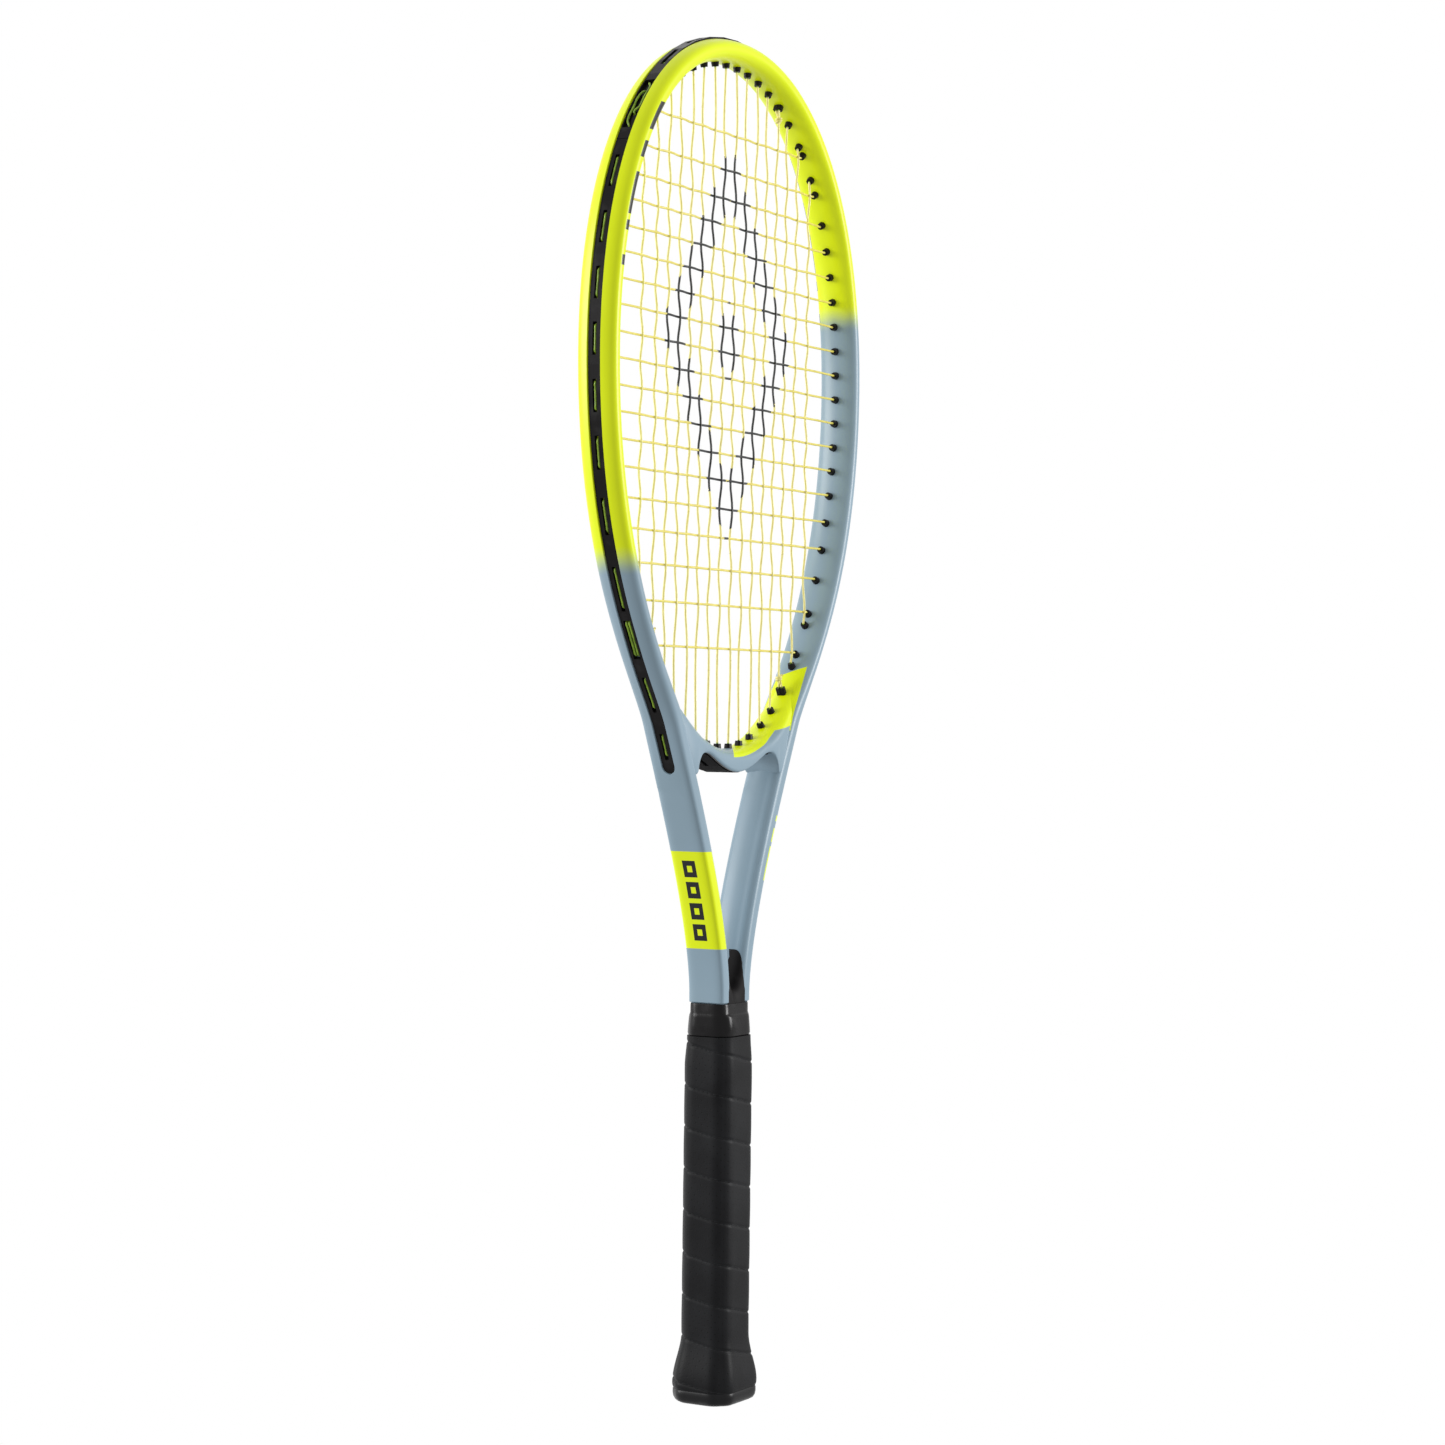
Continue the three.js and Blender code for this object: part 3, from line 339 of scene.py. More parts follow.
def outside_run(start, end, run_y, start_y=None, end_y=None):
    """Points from one grommet's mouth along the slot to the next one's."""
    start_y = start.y if start_y is None else start_y
    end_y = end.y if end_y is None else end_y
    rise = STRING_RADIUS + 0.2
    if start.under:
        a, b = start.mouth.x, end.mouth.x
        sign = 1 if b > a else -1
        xs = [a + sign * 0.8, mix(a, b, 0.3), mix(a, b, 0.7), b - sign * 0.8]
        return [Vector((x, run_y, under_bridge(x) + CHANNEL_DEEP - STRIP_RISE - rise)) for x in xs]
    sign = 1 if end.s > start.s else -1
    length = abs(end.s - start.s)

    def lay(along, y):
        s = start.s + sign * along
        return on_beam(s, beam_at(s)[4] - CHANNEL_DEEP + STRIP_RISE + rise, y)

    count = max(1, round((length - 2 * LANE_RUN) / 9))
    middle = [lay(mix(LANE_RUN, length - LANE_RUN, i / count), run_y) for i in range(count + 1)]
    return [lay(0.8, start_y)] + middle + [lay(length - 0.8, end_y)]


def loop(start, end, run_y, start_y=None, end_y=None):
    """Everything that a string does between the inside of one grommet and the inside of the next."""
    start_y = start.y if start_y is None else start_y
    end_y = end.y if end_y is None else end_y
    out = [turn_point(start, start_y)] + through(start, start_y)
    back = [turn_point(end, end_y)] + through(end, end_y)
    return out + outside_run(start, end, run_y, start_y, end_y) + back[::-1]


def main_loops():
    """The main string's runs outside the head, with the lead to each of its knots."""
    loops = []
    for i, (a, b) in enumerate(zip(mains, mains[1:])):
        upper = i % 2 == 0
        start, end = (a.top, b.top) if upper else (a.bottom, b.bottom)
        outer = max(a.index, b.index)
        right = a.side > 0
        lane = 0
        if upper and outer == MAIN_COUNT:
            lane = -PASS
        elif upper and outer == 6 and right:
            lane = -SHARED
        elif not upper and outer == 7 and right:
            lane = SHARED
        loops.append(loop(start, end, lane))
    loops.append(loop(mains[0].bottom, crosses[-1].left, SHARED, SHARED, SHARED))
    loops.append(loop(mains[-1].bottom, mains[-3].bottom, -PASS, 0, -SHARED))
    return loops


def cross_loops():
    """The cross string's runs outside the head, with the lead to each of its knots."""
    loops = []
    for i, (a, b) in enumerate(zip(crosses, crosses[1:])):
        start, end = (a.left, b.left) if i % 2 == 0 else (a.right, b.right)
        crowded = a is crosses[0] or b is crosses[-1]
        loops.append(loop(start, end, PASS if crowded else 0))
    loops.append(loop(mains[-4].top, crosses[0].right, PASS, SHARED, 0))
    loops.append(loop(crosses[-1].left, mains[0].bottom, -SHARED, -SHARED, -SHARED))
    return loops


# ---------------------------------------------------------------------------- making meshes

def deselect():
    if bpy.context.mode != "OBJECT":
        bpy.ops.object.mode_set(mode="OBJECT")
    bpy.ops.object.select_all(action="DESELECT")


def activate(piece):
    deselect()
    piece.select_set(True)
    bpy.context.view_layer.objects.active = piece


def lay_string(name, runs, radius=STRING_RADIUS, steps=4):
    """A round string through each list of points, made as a curve and then a mesh."""
    deselect()
    bpy.ops.curve.primitive_bezier_curve_add(location=(0, 0, 0))
    piece = bpy.context.object
    curve = piece.data
    curve.splines.clear()
    for points in runs:
        spline = curve.splines.new("BEZIER")
        spline.bezier_points.add(len(points) - 1)
        for handle, point in zip(spline.bezier_points, points):
            handle.co = point * MM
            handle.handle_left_type = handle.handle_right_type = "AUTO"
    curve.dimensions = "3D"
    curve.bevel_depth = radius * MM
    curve.bevel_resolution = 2
    curve.resolution_u = steps
    curve.use_fill_caps = True
    bpy.ops.object.convert(target="MESH")
    piece = bpy.context.object
    piece.name = name
    bpy.ops.object.shade_smooth()
    return piece


def loft(name, rings, joined=False, marks=None):
    """A closed skin through rings of points, whose last ring is joined to the first or has a flat face.

    marks are lists of a number for each point, kept as attributes.
    """
    sheet = bmesh.new()
    layers = {key: sheet.verts.layers.float.new(key) for key in (marks or {})}
    grid = []
    for r, ring in enumerate(rings):
        row = [sheet.verts.new(point * MM) for point in ring]
        for key, layer in layers.items():
            for vertex, value in zip(row, marks[key][r]):
                vertex[layer] = value
        grid.append(row)
    pairs = list(zip(grid, grid[1:])) + ([(grid[-1], grid[0])] if joined else [])
    count = len(grid[0])
    for here, there in pairs:
        for k in range(count):
            n = (k + 1) % count
            sheet.faces.new((here[k], here[n], there[n], there[k]))
    if not joined:
        sheet.faces.new(grid[0][::-1])
        sheet.faces.new(grid[-1])
    bmesh.ops.recalc_face_normals(sheet, faces=sheet.faces)
    mesh = bpy.data.meshes.new(name)
    sheet.to_mesh(mesh)
    sheet.free()
    piece = bpy.data.objects.new(name, mesh)
    bpy.context.scene.collection.objects.link(piece)
    return piece


def smooth(piece, angle=32):
    activate(piece)
    bpy.ops.object.shade_smooth_by_angle(angle=math.radians(angle))
    return piece


def bevel(piece, width, segments, angle=30):
    activate(piece)
    rounding = piece.modifiers.new("rounding", "BEVEL")
    rounding.width = width * MM
    rounding.segments = segments
    rounding.limit_method = "ANGLE"
    rounding.angle_limit = math.radians(angle)
    bpy.ops.object.modifier_apply(modifier=rounding.name)
    return piece


def join(name, pieces):
    activate(pieces[0])
    for piece in pieces[1:]:
        piece.select_set(True)
    bpy.ops.object.join()
    pieces[0].name = name
    return pieces[0]


def finish(piece, slot, material, *nodes):
    """Gives a finished piece its material and its body, and hides the CAD nodes that it stands for. The slot
    is not used.
    """
    piece.data.materials.clear()
    piece.data.materials.append(material)
    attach(piece, "root")
    if nodes:
        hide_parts(*nodes)
    return piece


# --------------------------------------------------------------------------- shader writing

class Value:
    """A socket that carries a number, with Python's operators as Math nodes."""

    def __init__(self, look, socket):
        self.look, self.socket = look, socket

    def __add__(self, other):
        return self.look.math("ADD", self, other)

    __radd__ = __add__

    def __mul__(self, other):
        return self.look.math("MULTIPLY", self, other)

    __rmul__ = __mul__

    def __sub__(self, other):
        return self.look.math("SUBTRACT", self, other)

    def __rsub__(self, other):
        return self.look.math("SUBTRACT", other, self)

    def __truediv__(self, other):
        return self.look.math("DIVIDE", self, other)

    def __gt__(self, other):
        return self.look.math("GREATER_THAN", self, other)

    def __lt__(self, other):
        return self.look.math("LESS_THAN", self, other)

    def __abs__(self):
        return self.look.math("ABSOLUTE", self)

    def __and__(self, other):
        return self.look.math("MINIMUM", self, other)

    def __or__(self, other):
        return self.look.math("MAXIMUM", self, other)

    def fraction(self):
        return self.look.math("FRACT", self)

    def sine(self):
        return self.look.math("SINE", self)

    def rise(self, low, high):
        """0 below low, 1 above high, and smooth between."""
        sockets = {"Value": self, "From Min": low, "From Max": high}
        ramp = self.look.node("MapRange", {"interpolation_type": "SMOOTHSTEP"}, sockets)
        return Value(self.look, ramp.outputs["Result"])

    def between(self, low, high):
        return (self > low) & (self < high)


class Look:
    """A procedural material with a Principled surface."""

    def __init__(self, name, **settings):
        self.material = bpy.data.materials.new(name)
        self.material.use_nodes = True
        self.tree = self.material.node_tree
        self.surface = self.tree.nodes["Principled BSDF"]
        for key, value in settings.items():
            self.surface.inputs[key.replace("_", " ")].default_value = value
        self.place = self.node("TexCoord").outputs["Object"]
        apart = self.node("SeparateXYZ", {}, {"Vector": self.place})
        self.x, self.y, self.z = (Value(self, apart.outputs[axis]) for axis in "XYZ")

    def node(self, kind, settings=None, inputs=None):
        made = self.tree.nodes.new("ShaderNode" + kind)
        for key, value in (settings or {}).items():
            setattr(made, key, value)
        for key, value in (inputs or {}).items():
            self.feed(made.inputs[key], value)
        return made

    def feed(self, socket, value):
        value = value.socket if isinstance(value, Value) else value
        if isinstance(value, bpy.types.NodeSocket):
            self.tree.links.new(value, socket)
        else:
            socket.default_value = value

    def math(self, operation, a, b=0.0):
        made = self.node("Math", {"operation": operation}, {0: a, 1: b})
        return Value(self, made.outputs[0])

    def blend(self, mask, off, on):
        """The colour off where mask is 0 and on where it is 1."""
        made = self.node("Mix", {"data_type": "RGBA"}, {0: mask, 6: off, 7: on})
        return made.outputs[2]

    def noise(self, scale, detail):
        made = self.node("TexNoise", {}, {"Vector": self.place, "Scale": scale, "Detail": detail})
        return Value(self, made.outputs["Fac"])

    def cells(self, scale):
        made = self.node("TexVoronoi", {}, {"Vector": self.place, "Scale": scale})
        return Value(self, made.outputs["Distance"])

    def mark(self, name):
        """A number kept on the piece's points."""
        return Value(self, self.node("Attribute", {"attribute_name": name}).outputs["Fac"])

    def paint(self, colour, roughness, bump, strength, reach):
        made = self.node("Bump", {}, {"Height": bump, "Strength": strength, "Distance": reach})
        self.feed(self.surface.inputs["Base Color"], colour)
        self.feed(self.surface.inputs["Roughness"], roughness)
        self.feed(self.surface.inputs["Normal"], made.outputs["Normal"])
        return self.material


LIME = (0.8, 0.93, 0.0, 1)
LIME_DEEP = (0.76, 0.89, 0.0, 1)
STEEL_BLUE = (0.27, 0.375, 0.455, 1)
STEEL_DEEP = (0.25, 0.35, 0.42, 1)
INK = (0.012, 0.012, 0.014, 1)
NYLON = (0.01, 0.009, 0.0095, 1)

# Heights and depths of the painted marks, in metres.
PATCH_TOP = 0.3688  # the lime patch's upper edge at the middle of the beam's depth
PATCH_SLANT = 0.36  # how much lower that edge runs towards the back
PATCH_FOOT = 0.338
FADE = (0.418, 0.1405)  # where lime fades on the left, and how much higher it does on the right
FADE_HALF = 0.007
LABEL = (0.2284, 0.2776)
LABEL_BLOCKS = (0.2325, 0.0107)  # foot of the label's lowest block, and the pitch of its four blocks
TABS = ((0.2625, 0.2798), (0.282, 0.289), (0.2924, 0.2954))
DASHES = ((0.557, 0.562), (0.574, 0.579), (0.582, 0.603), (0.6105, 0.619), (0.625, 0.64))


def two_tone(look, lime_mask):
    """Paint that is lime where the mask is 1 and blue-grey elsewhere, each a little uneven."""
    cloud = look.noise(22, 2)
    lime = look.blend(cloud.rise(0.3, 0.7), LIME_DEEP, LIME)
    blue = look.blend(cloud.rise(0.3, 0.7), STEEL_DEEP, STEEL_BLUE)
    return look.blend(lime_mask, blue, lime)


def clear_coat(look, colour, roughness=0.34):
    """Satin paint under lacquer: a faint orange peel, fine flake, and dust dulling it here and there."""
    flake = look.noise(2600, 1)
    dust = look.noise(60, 4)
    gloss = roughness + (dust - 0.5) * 0.12 + (flake - 0.5) * 0.1
    return look.paint(colour, gloss, look.noise(420, 2), 0.06, 0.0001)


def bands(value, ranges):
    """1 where the value lies in any of the ranges."""
    mask = 0.0
    for low, high in ranges:
        mask = value.between(low, high) | mask
    return mask


def label_bars(look):
    """A row of four plain blocks up the middle of the label, each with a window in it."""
    foot, pitch = LABEL_BLOCKS
    along = (look.z - foot) / pitch
    across = abs(look.y)
    block = along.between(0, 4) & (along.fraction() < 0.78) & (across < 0.0037)
    window = along.fraction().between(0.24, 0.54) & (across < 0.0014)
    return block & (1 - window)


def frame_paint():
    """Lime over the head, fading to blue-grey lower down, with its patch, label, tabs and dashes."""
    look = Look("frame_paint", Coat_Weight=0.12, Coat_Roughness=0.36, Specular_IOR_Level=0.3)
    outward = look.mark("outward")
    through = look.mark("through")
    right = look.x > 0
    left = 1 - right
    fade_height = FADE[0] + right * FADE[1]
    grain = (look.noise(90, 2) - 0.5) * 0.004
    head = (look.z + grain).rise(fade_height - FADE_HALF, fade_height + FADE_HALF)

    slanted_top = PATCH_TOP - look.y * PATCH_SLANT
    edge = (slanted_top - look.z) * 6 - 0.72
    patch = right & (look.z < slanted_top) & (look.z > PATCH_FOOT) & (outward < edge) & (outward < -0.46)
    label = left & (outward > -0.4) & look.z.between(*LABEL)
    tabs = bands(look.z + outward * 0.002, TABS) & right & (through < -0.3) & (outward > 0.4)
    colour = two_tone(look, head | patch | label | tabs)
    colour = look.blend(label & label_bars(look) & (outward > 0), colour, INK)

    rim = outward.between(-0.5, 0.25)
    half_turn = (left & (through < 0)) | (right & (through > 0))
    colour = look.blend(bands(look.z, DASHES) & rim & half_turn, colour, INK)
    return clear_coat(look, colour)


def bridge_paint():
    """Blue-grey, with the lime patch of the right side carried along its upper edge to a slanted end.

    The rim's height is a quartic in x that passes through the bridge's upper edge at two places.
    """
    look = Look("bridge_paint", Coat_Weight=0.12, Coat_Roughness=0.36, Specular_IOR_Level=0.3)
    near, far = 0.030, 0.058
    rise_near = (over_bridge(near / MM, 0) - BRIDGE_TOP) * MM
    rise_far = (over_bridge(far / MM, 0) - BRIDGE_TOP) * MM
    quartic = (rise_far / far**2 - rise_near / near**2) / (far**2 - near**2)
    square = rise_near / near**2 - quartic * near**2
    across = look.x * look.x
    edge = BRIDGE_TOP * MM + across * square + across * across * quartic
    rim = edge - look.z < 0.0042 - look.x * 0.05
    slanted = look.x > (look.y + 0.0102) * 1.5 - 0.006
    corner = (look.x > 0.04) & (look.z > 0.33 + look.x * 0.2)
    lime = slanted & (rim | corner) & (look.z < PATCH_TOP - look.y * PATCH_SLANT)
    colour = look.blend(look.mark("under") > 0.6, two_tone(look, lime), NYLON)
    return clear_coat(look, colour)


def nylon(name, tone=NYLON, sheen=0.3):
    """Moulded nylon: near black, a fine spark-eroded grain, and paler where it is rubbed."""
    look = Look(name, Specular_IOR_Level=0.1)
    rub = look.noise(140, 4).rise(0.5, 0.75)
    pale = tuple(mix(c, 0.05, 0.35) for c in tone[:3]) + (1,)
    colour = look.blend(rub * 0.6, tone, pale)
    return look.paint(colour, sheen + rub * 0.15, look.noise(2200, 2), 0.12, 0.00008)


def string_look(name, tone, deep):
    """Clear gold string with a plain printed sign: one tall lozenge inside another."""
    look = Look(name, Transmission_Weight=0.12, IOR=1.5, Specular_IOR_Level=0.5)
    streak = look.noise(300, 2)
    colour = look.blend(streak.rise(0.35, 0.65), deep, tone)
    half_width, half_height, middle = 0.066, 0.102, 0.534
    worn = (look.noise(700, 2) - 0.5) * 0.05
    spread = abs(look.x) / half_width + abs(look.z - middle) / half_height + worn
    sign = spread.between(0.7, 1) | (spread < 0.22)
    colour = look.blend(sign, colour, INK)
    return look.paint(colour, 0.24 + streak * 0.12, look.noise(900, 2), 0.1, 0.0001)


def rubber(name):
    """Smooth black rubber with a faint mould grain and dust."""
    look = Look(name, Specular_IOR_Level=0.25)
    dust = look.noise(120, 5).rise(0.45, 0.8)
    colour = look.blend(dust, (0.006, 0.0055, 0.006, 1), (0.012, 0.011, 0.012, 1))
    return look.paint(colour, 0.26 + dust * 0.16, look.noise(1500, 2), 0.08, 0.0001)


def grip_leather():
    """Wrapped synthetic leather: pebbled, with rows of fine holes, and a painted highlight along the turns'
    edges.
    """
    look = Look("grip_leather", Specular_IOR_Level=0.14)
    turn = look.mark("turn")
    rows, columns, spacing = 7, 30, 3.4
    row = (turn * rows).fraction()
    place = (look.mark("round") * columns + (turn * rows - row) * 0.5).fraction()
    dot_across = abs(row - 0.5) * GRIP_PITCH / rows
    dot_along = abs(place - 0.5) * spacing
    dots = 1 - (dot_across * dot_across + dot_along * dot_along).rise(0.06, 0.14)
    dots = dots & turn.between(0.12, 0.88)
    pebbles = look.cells(1500)
    grime = look.noise(45, 4)
    # Painted highlight: the seam and the rolled edge of each turn are coloured paler.
    edge = 1 - (turn.rise(0.0, 0.05) & (1 - turn.rise(0.97, 1.0)))
    colour = look.blend(grime.rise(0.3, 0.75), (0.008, 0.008, 0.009, 1), (0.015, 0.0155, 0.017, 1))
    colour = look.blend(edge * 0.6, colour, (0.04, 0.041, 0.045, 1))
    colour = look.blend(dots, colour, (0.006, 0.006, 0.006, 1))
    height = pebbles * 0.5 + look.noise(500, 3) * 0.5 - dots * 1.5
    return look.paint(colour, 0.42 + grime * 0.14, height, 0.25, 0.00014)


def cap_plastic():
    """The butt cap's satin plastic, scuffed along its lower edge."""
    look = Look("cap_plastic", Specular_IOR_Level=0.25)
    scuff = look.noise(260, 5).rise(0.5, 0.7) * (1 - look.z.rise(0.0005, 0.0035))
    colour = look.blend(scuff, (0.009, 0.009, 0.01, 1), (0.06, 0.06, 0.062, 1))
    return look.paint(colour, 0.36 + scuff * 0.25, look.noise(1800, 3), 0.14, 0.0001)


def foam(name):
    look = Look(name, Specular_IOR_Level=0.3)
    pores = look.cells(900).rise(0.1, 0.5)
    colour = look.blend(pores, (0.03, 0.03, 0.03, 1), (0.07, 0.07, 0.07, 1))
    return look.paint(colour, 0.85, pores, 0.4, 0.0003)


def staple_steel():
    look = Look("staple_steel", Metallic=1.0)
    scratch = look.noise(1500, 3)
    colour = look.blend(scratch.rise(0.3, 0.7), (0.5, 0.5, 0.51, 1), (0.68, 0.69, 0.7, 1))
    return look.paint(colour, 0.25 + scratch * 0.2, scratch, 0.1, 0.0001)


def tape_look():
    look = Look("tape", Specular_IOR_Level=0.4)
    weave = (look.z * 9000).sine() * 0.5 + 0.5
    colour = look.blend(weave, (0.014, 0.014, 0.014, 1), (0.028, 0.028, 0.028, 1))
    return look.paint(colour, 0.5 + weave * 0.1, weave, 0.2, 0.0001)


# ---------------------------------------------------------------------------- camera, light

def aim_camera():
    """A long lens at racket height, 60 degrees round to the left of the front."""
    azimuth = math.radians(60)
    pitch = math.radians(0.01)
    roll = math.radians(0.75)
    flat = Vector((math.sin(azimuth), math.cos(azimuth), 0))
    forward = flat * math.cos(pitch) + Vector((0, 0, math.sin(pitch)))
    level = Vector((math.cos(azimuth), -math.sin(azimuth), 0))
    up = level.cross(forward)
    right = level * math.cos(roll) + up * math.sin(roll)
    upward = right.cross(forward)
    deselect()
    bpy.ops.object.camera_add(location=(-1.4117, -0.8148, 0.3415))
    camera = bpy.context.object
    turn = Matrix((right, upward, -forward)).transposed()
    camera.rotation_euler = turn.to_euler()
    camera.data.lens = 80.4
    camera.data.sensor_width = 36
    bpy.context.scene.camera = camera


def area_light(name, place, size, power):
    """A round soft light that faces the middle of the racket."""
    target = Vector((0, 0, 0.4))
    deselect()
    bpy.ops.object.light_add(type="AREA", location=place)
    lamp = bpy.context.object
    lamp.name = name
    lamp.data.shape = "DISK"
    lamp.data.size = size
    lamp.data.energy = power
    lamp.rotation_euler = (target - Vector(place)).to_track_quat("-Z", "Y").to_euler()


def studio():
    """A white room that is grey on its front left side, with soft lights at the front right and back left."""
    area_light("front_right", (1.3, -2.3, 0.9), 1.2, 56)
    area_light("back_left", (-1.5, 1.9, 1.0), 1.4, 42)
    world = bpy.data.worlds.new("studio")
    bpy.context.scene.world = world
    world.use_nodes = True
    tree = world.node_tree
    way = tree.nodes.new("ShaderNodeTexCoord").outputs["Generated"]
    brightest = math.radians(30)
    facing = tree.nodes.new("ShaderNodeVectorMath")
    facing.operation = "DOT_PRODUCT"
    facing.inputs[1].default_value = (math.sin(brightest), math.cos(brightest), 0)
    tree.links.new(way, facing.inputs[0])
    ramp = tree.nodes.new("ShaderNodeMapRange")
    for key, value in (("From Min", 0.0), ("From Max", 0.7), ("To Min", 0.5), ("To Max", 1.0)):
        ramp.inputs[key].default_value = value
    tree.links.new(facing.outputs["Value"], ramp.inputs["Value"])
    tree.links.new(ramp.outputs["Result"], tree.nodes["Background"].inputs["Strength"])
    tree.nodes["Background"].inputs["Color"].default_value = (1, 1, 1, 1)
    bpy.context.scene.view_settings.view_transform = "Standard"


# ------------------------------------------------------------------------------ the pieces

def skin(half, deep, boxy):
    """Half a section of the beam, from the middle of its inner face to beside its channel.

    It is a superellipse, rounder inside than outside, with a groove along the arm's inner face.
    """
    steps, part = 16, 0.96
    points = []
    for i in range(steps + 1):
        angle = math.pi * (1 - part * i / steps)
        inner = math.cos(angle) < 0
        power = mix(2.2, 3.0, boxy) if inner else mix(2.6, 5.2, boxy)
        n = math.copysign(abs(math.cos(angle)) ** (2 / power), math.cos(angle))
        y = math.sin(angle) ** (2 / power)
        if inner:
            n *= 1 - 0.16 * boxy * math.exp(-(((y - 0.42) / 0.1) ** 2))
        points.append((n * half, y * deep))
    points = [(n, y) for n, y in points if not (n > 0 and y < CHANNEL_HALF + 1)]
    while len(points) < steps:
        n, y = points[-1]
        points.append((mix(n, half, 0.5), mix(y, CHANNEL_HALF + 0.6, 0.5)))
    return points


def section(s):
    """Outline of the beam at s, with the channel in its outer face; the channel ends in a half circle."""
    _, z, _, _, half, deep = beam_at(s)
    channel = CHANNEL_DEEP if z > CHANNEL_END else 0.0
    from_end = min(1, max(0, (z - CHANNEL_END) / CHANNEL_HALF))
    wide = max(0.5, CHANNEL_HALF * math.sqrt(1 - (1 - from_end) ** 2))
    lip = half - 0.02
    edge = 0.25
    front = skin(half, deep, 1 - step(*BOXY, z))
    front += [(lip, wide + edge), (lip - min(edge, channel), wide), (lip - channel, wide), (lip - channel, 0)]
    back = [(n, -y) for n, y in front[-2:0:-1]]
    return front + back, half, deep


def beam_places():
    """Distances of the beam's rings down its right side, close together where the channel ends."""
    spacing = 3.4
    channel_foot = s_at_height(CHANNEL_END + 4.2)
    places = [i * spacing for i in range(math.ceil(channel_foot / spacing))]
    heights = [CHANNEL_END + rise for rise in (3.6, 2.6, 1.7, 1, 0.5, 0.25, -0.25)]
    heights += range(315, 203, -4)
    heights += [201.6, 201, 199, 197, 195, 193, 191, 189, 187.5]
    return places + [s_at_height(z) for z in heights]


def beam():
    """The whole beam, from one leg round the head to the other."""
    right = beam_places()
    rings = []
    outward = []
    through_it = []
    for s in [-s for s in right[:0:-1]] + right:
        outline, half, deep = section(s)
        rings.append([on_beam(s, n, -y) for n, y in outline])
        outward.append([n / half for n, _ in outline])
        through_it.append([-y / deep for _, y in outline])
    piece = loft("beam", rings, marks={"outward": outward, "through": through_it})
    return smooth(piece, 40)


def bridge_foot(side):
    """Height of the bridge's lower face: its arch, and further out the middle of the arm."""
    fillet_x, fillet_z = BRIDGE_FILLET
    if side < fillet_x:
        return under_bridge(side)
    lower_half = [row for row in LINE if row[2] <= SIDE[1]]
    arm = min(lower_half, key=lambda row: abs(row[1] - side))
    return max(arm[2], fillet_z)


def bridge_ring(x):
    """Upright slice of the bridge at x: a half-round top, flat sides and a channel underneath."""
    side = abs(x)
    reach, wide = THROAT_CHANNEL
    crown_height, corner, roundness = 6.2, 1.4, 0.96
    deep = mix(BRIDGE_HALF, 6, step(42, 80, side))
    top = over_bridge(side, 0) - 5 * step(50, 84, side)
    slope = (over_bridge(side + 0.5, 0) - over_bridge(side, 0)) * 2
    bottom = bridge_foot(side)
    crown = min(crown_height * math.sqrt(1 + slope * slope), top - bottom - 2.4)
    ceiling = bottom + (CHANNEL_DEEP if side < reach else 0.0)
    half = []
    for i in range(11):
        angle = i * math.pi / 20
        half.append((deep * math.sin(angle) ** roundness, top - crown * (1 - math.cos(angle) ** roundness)))
    for angle in (0.0, 0.4, 0.8, 1.2, 1.57):
        half.append((deep - corner * (1 - math.cos(angle)), bottom + corner * (1 - math.sin(angle))))
    underside = [(wide, bottom), (wide, ceiling), (0, ceiling)]
    dark = [0.0] * (len(half) - 1) + [float(side < reach + 1)] * (len(underside) + 1)
    half += underside
    ring = [Vector((x, y, z)) for y, z in half + [(-y, z) for y, z in half[-2:0:-1]]]
    return ring, dark + dark[-2:0:-1]


def bridge():
    """The throat bridge, whose ends run into the arms that it is moulded to."""
    reach = THROAT_CHANNEL[0]
    right = [i * 1.7 for i in range(24)] + [reach - 0.05, reach + 0.05]
    right += [39.8, 40.4, 40.88] + [41.6 + i * 2.4 for i in range(18)]
    right.sort()
    rings = [bridge_ring(x) for x in [-x for x in right[:0:-1]] + right]
    marks = {"under": [dark for _, dark in rings]}
    return smooth(loft("bridge", [ring for ring, _ in rings], marks=marks), 42)


def wedge():
    """The saddle between the arms over the handle, climbing both arms under a rounded outline."""
    foot, dip, climb, half_depth = 190, 18, 19, 10.2
    arm = beam_at(s_at_height(226))
    wall = arm[0] - arm[4] + 0.3
    rings = []
    for i in range(31):
        y = half_depth * math.sin(mix(-0.5, 0.5, i / 30) * math.pi)
        rise = math.sqrt(1 - abs(y / (half_depth + 0.4)) ** 6)
        shares = [mix(-1, 1, k / 20) for k in range(21)]
        row = [Vector((x * wall, y, foot + rise * (dip + climb * abs(x) ** 2.2))) for x in shares]
        top = row[-1].z
        right = [Vector((wall + 2.2, y, top)), Vector((wall + 1, y, min(top, 200))), Vector((6, y, foot - 1))]
        row += right + [Vector((-point.x, point.y, point.z)) for point in right[::-1]]
        rings.append(row)
    return smooth(loft("wedge", rings), 50)


def octagon(shape, z, count, rounding):
    """Ring of a rounded octagon of (half width, half depth, corner cut), with count points to a side."""
    a, b, c = shape
    quarter = [(a, b - c), (a - c, b)]
    half = quarter + [(-x, y) for x, y in quarter[::-1]]
    corners = [Vector((x, y, z)) for x, y in half + [(-x, -y) for x, y in half]]
    cut = rounding * 1.6
    points = []
    for i, corner in enumerate(corners):
        before, after = corners[i - 1], corners[(i + 1) % 8]
        start = corner + (before - corner).normalized() * cut
        end = corner + (after - corner).normalized() * cut
        points += [start.lerp(corner, k / 3).lerp(corner.lerp(end, k / 3), k / 3) for k in range(4)]
        leave = after + (corner - after).normalized() * cut
        points += [end.lerp(leave, k / (count - 3)) for k in range(1, count - 3)]
    return points


def stacked(stack, z):
    """Octagon of a stack at height z, eased along its longer steps."""
    for (low, start), (high, end) in zip(stack, stack[1:]):
        if z <= end:
            f = max(0, (z - start) / (end - start))
            eased = step(0, 1, f) if end - start > 3 else f
            return tuple(mix(a, b, eased) for a, b in zip(low, high))
    return stack[-1][0]


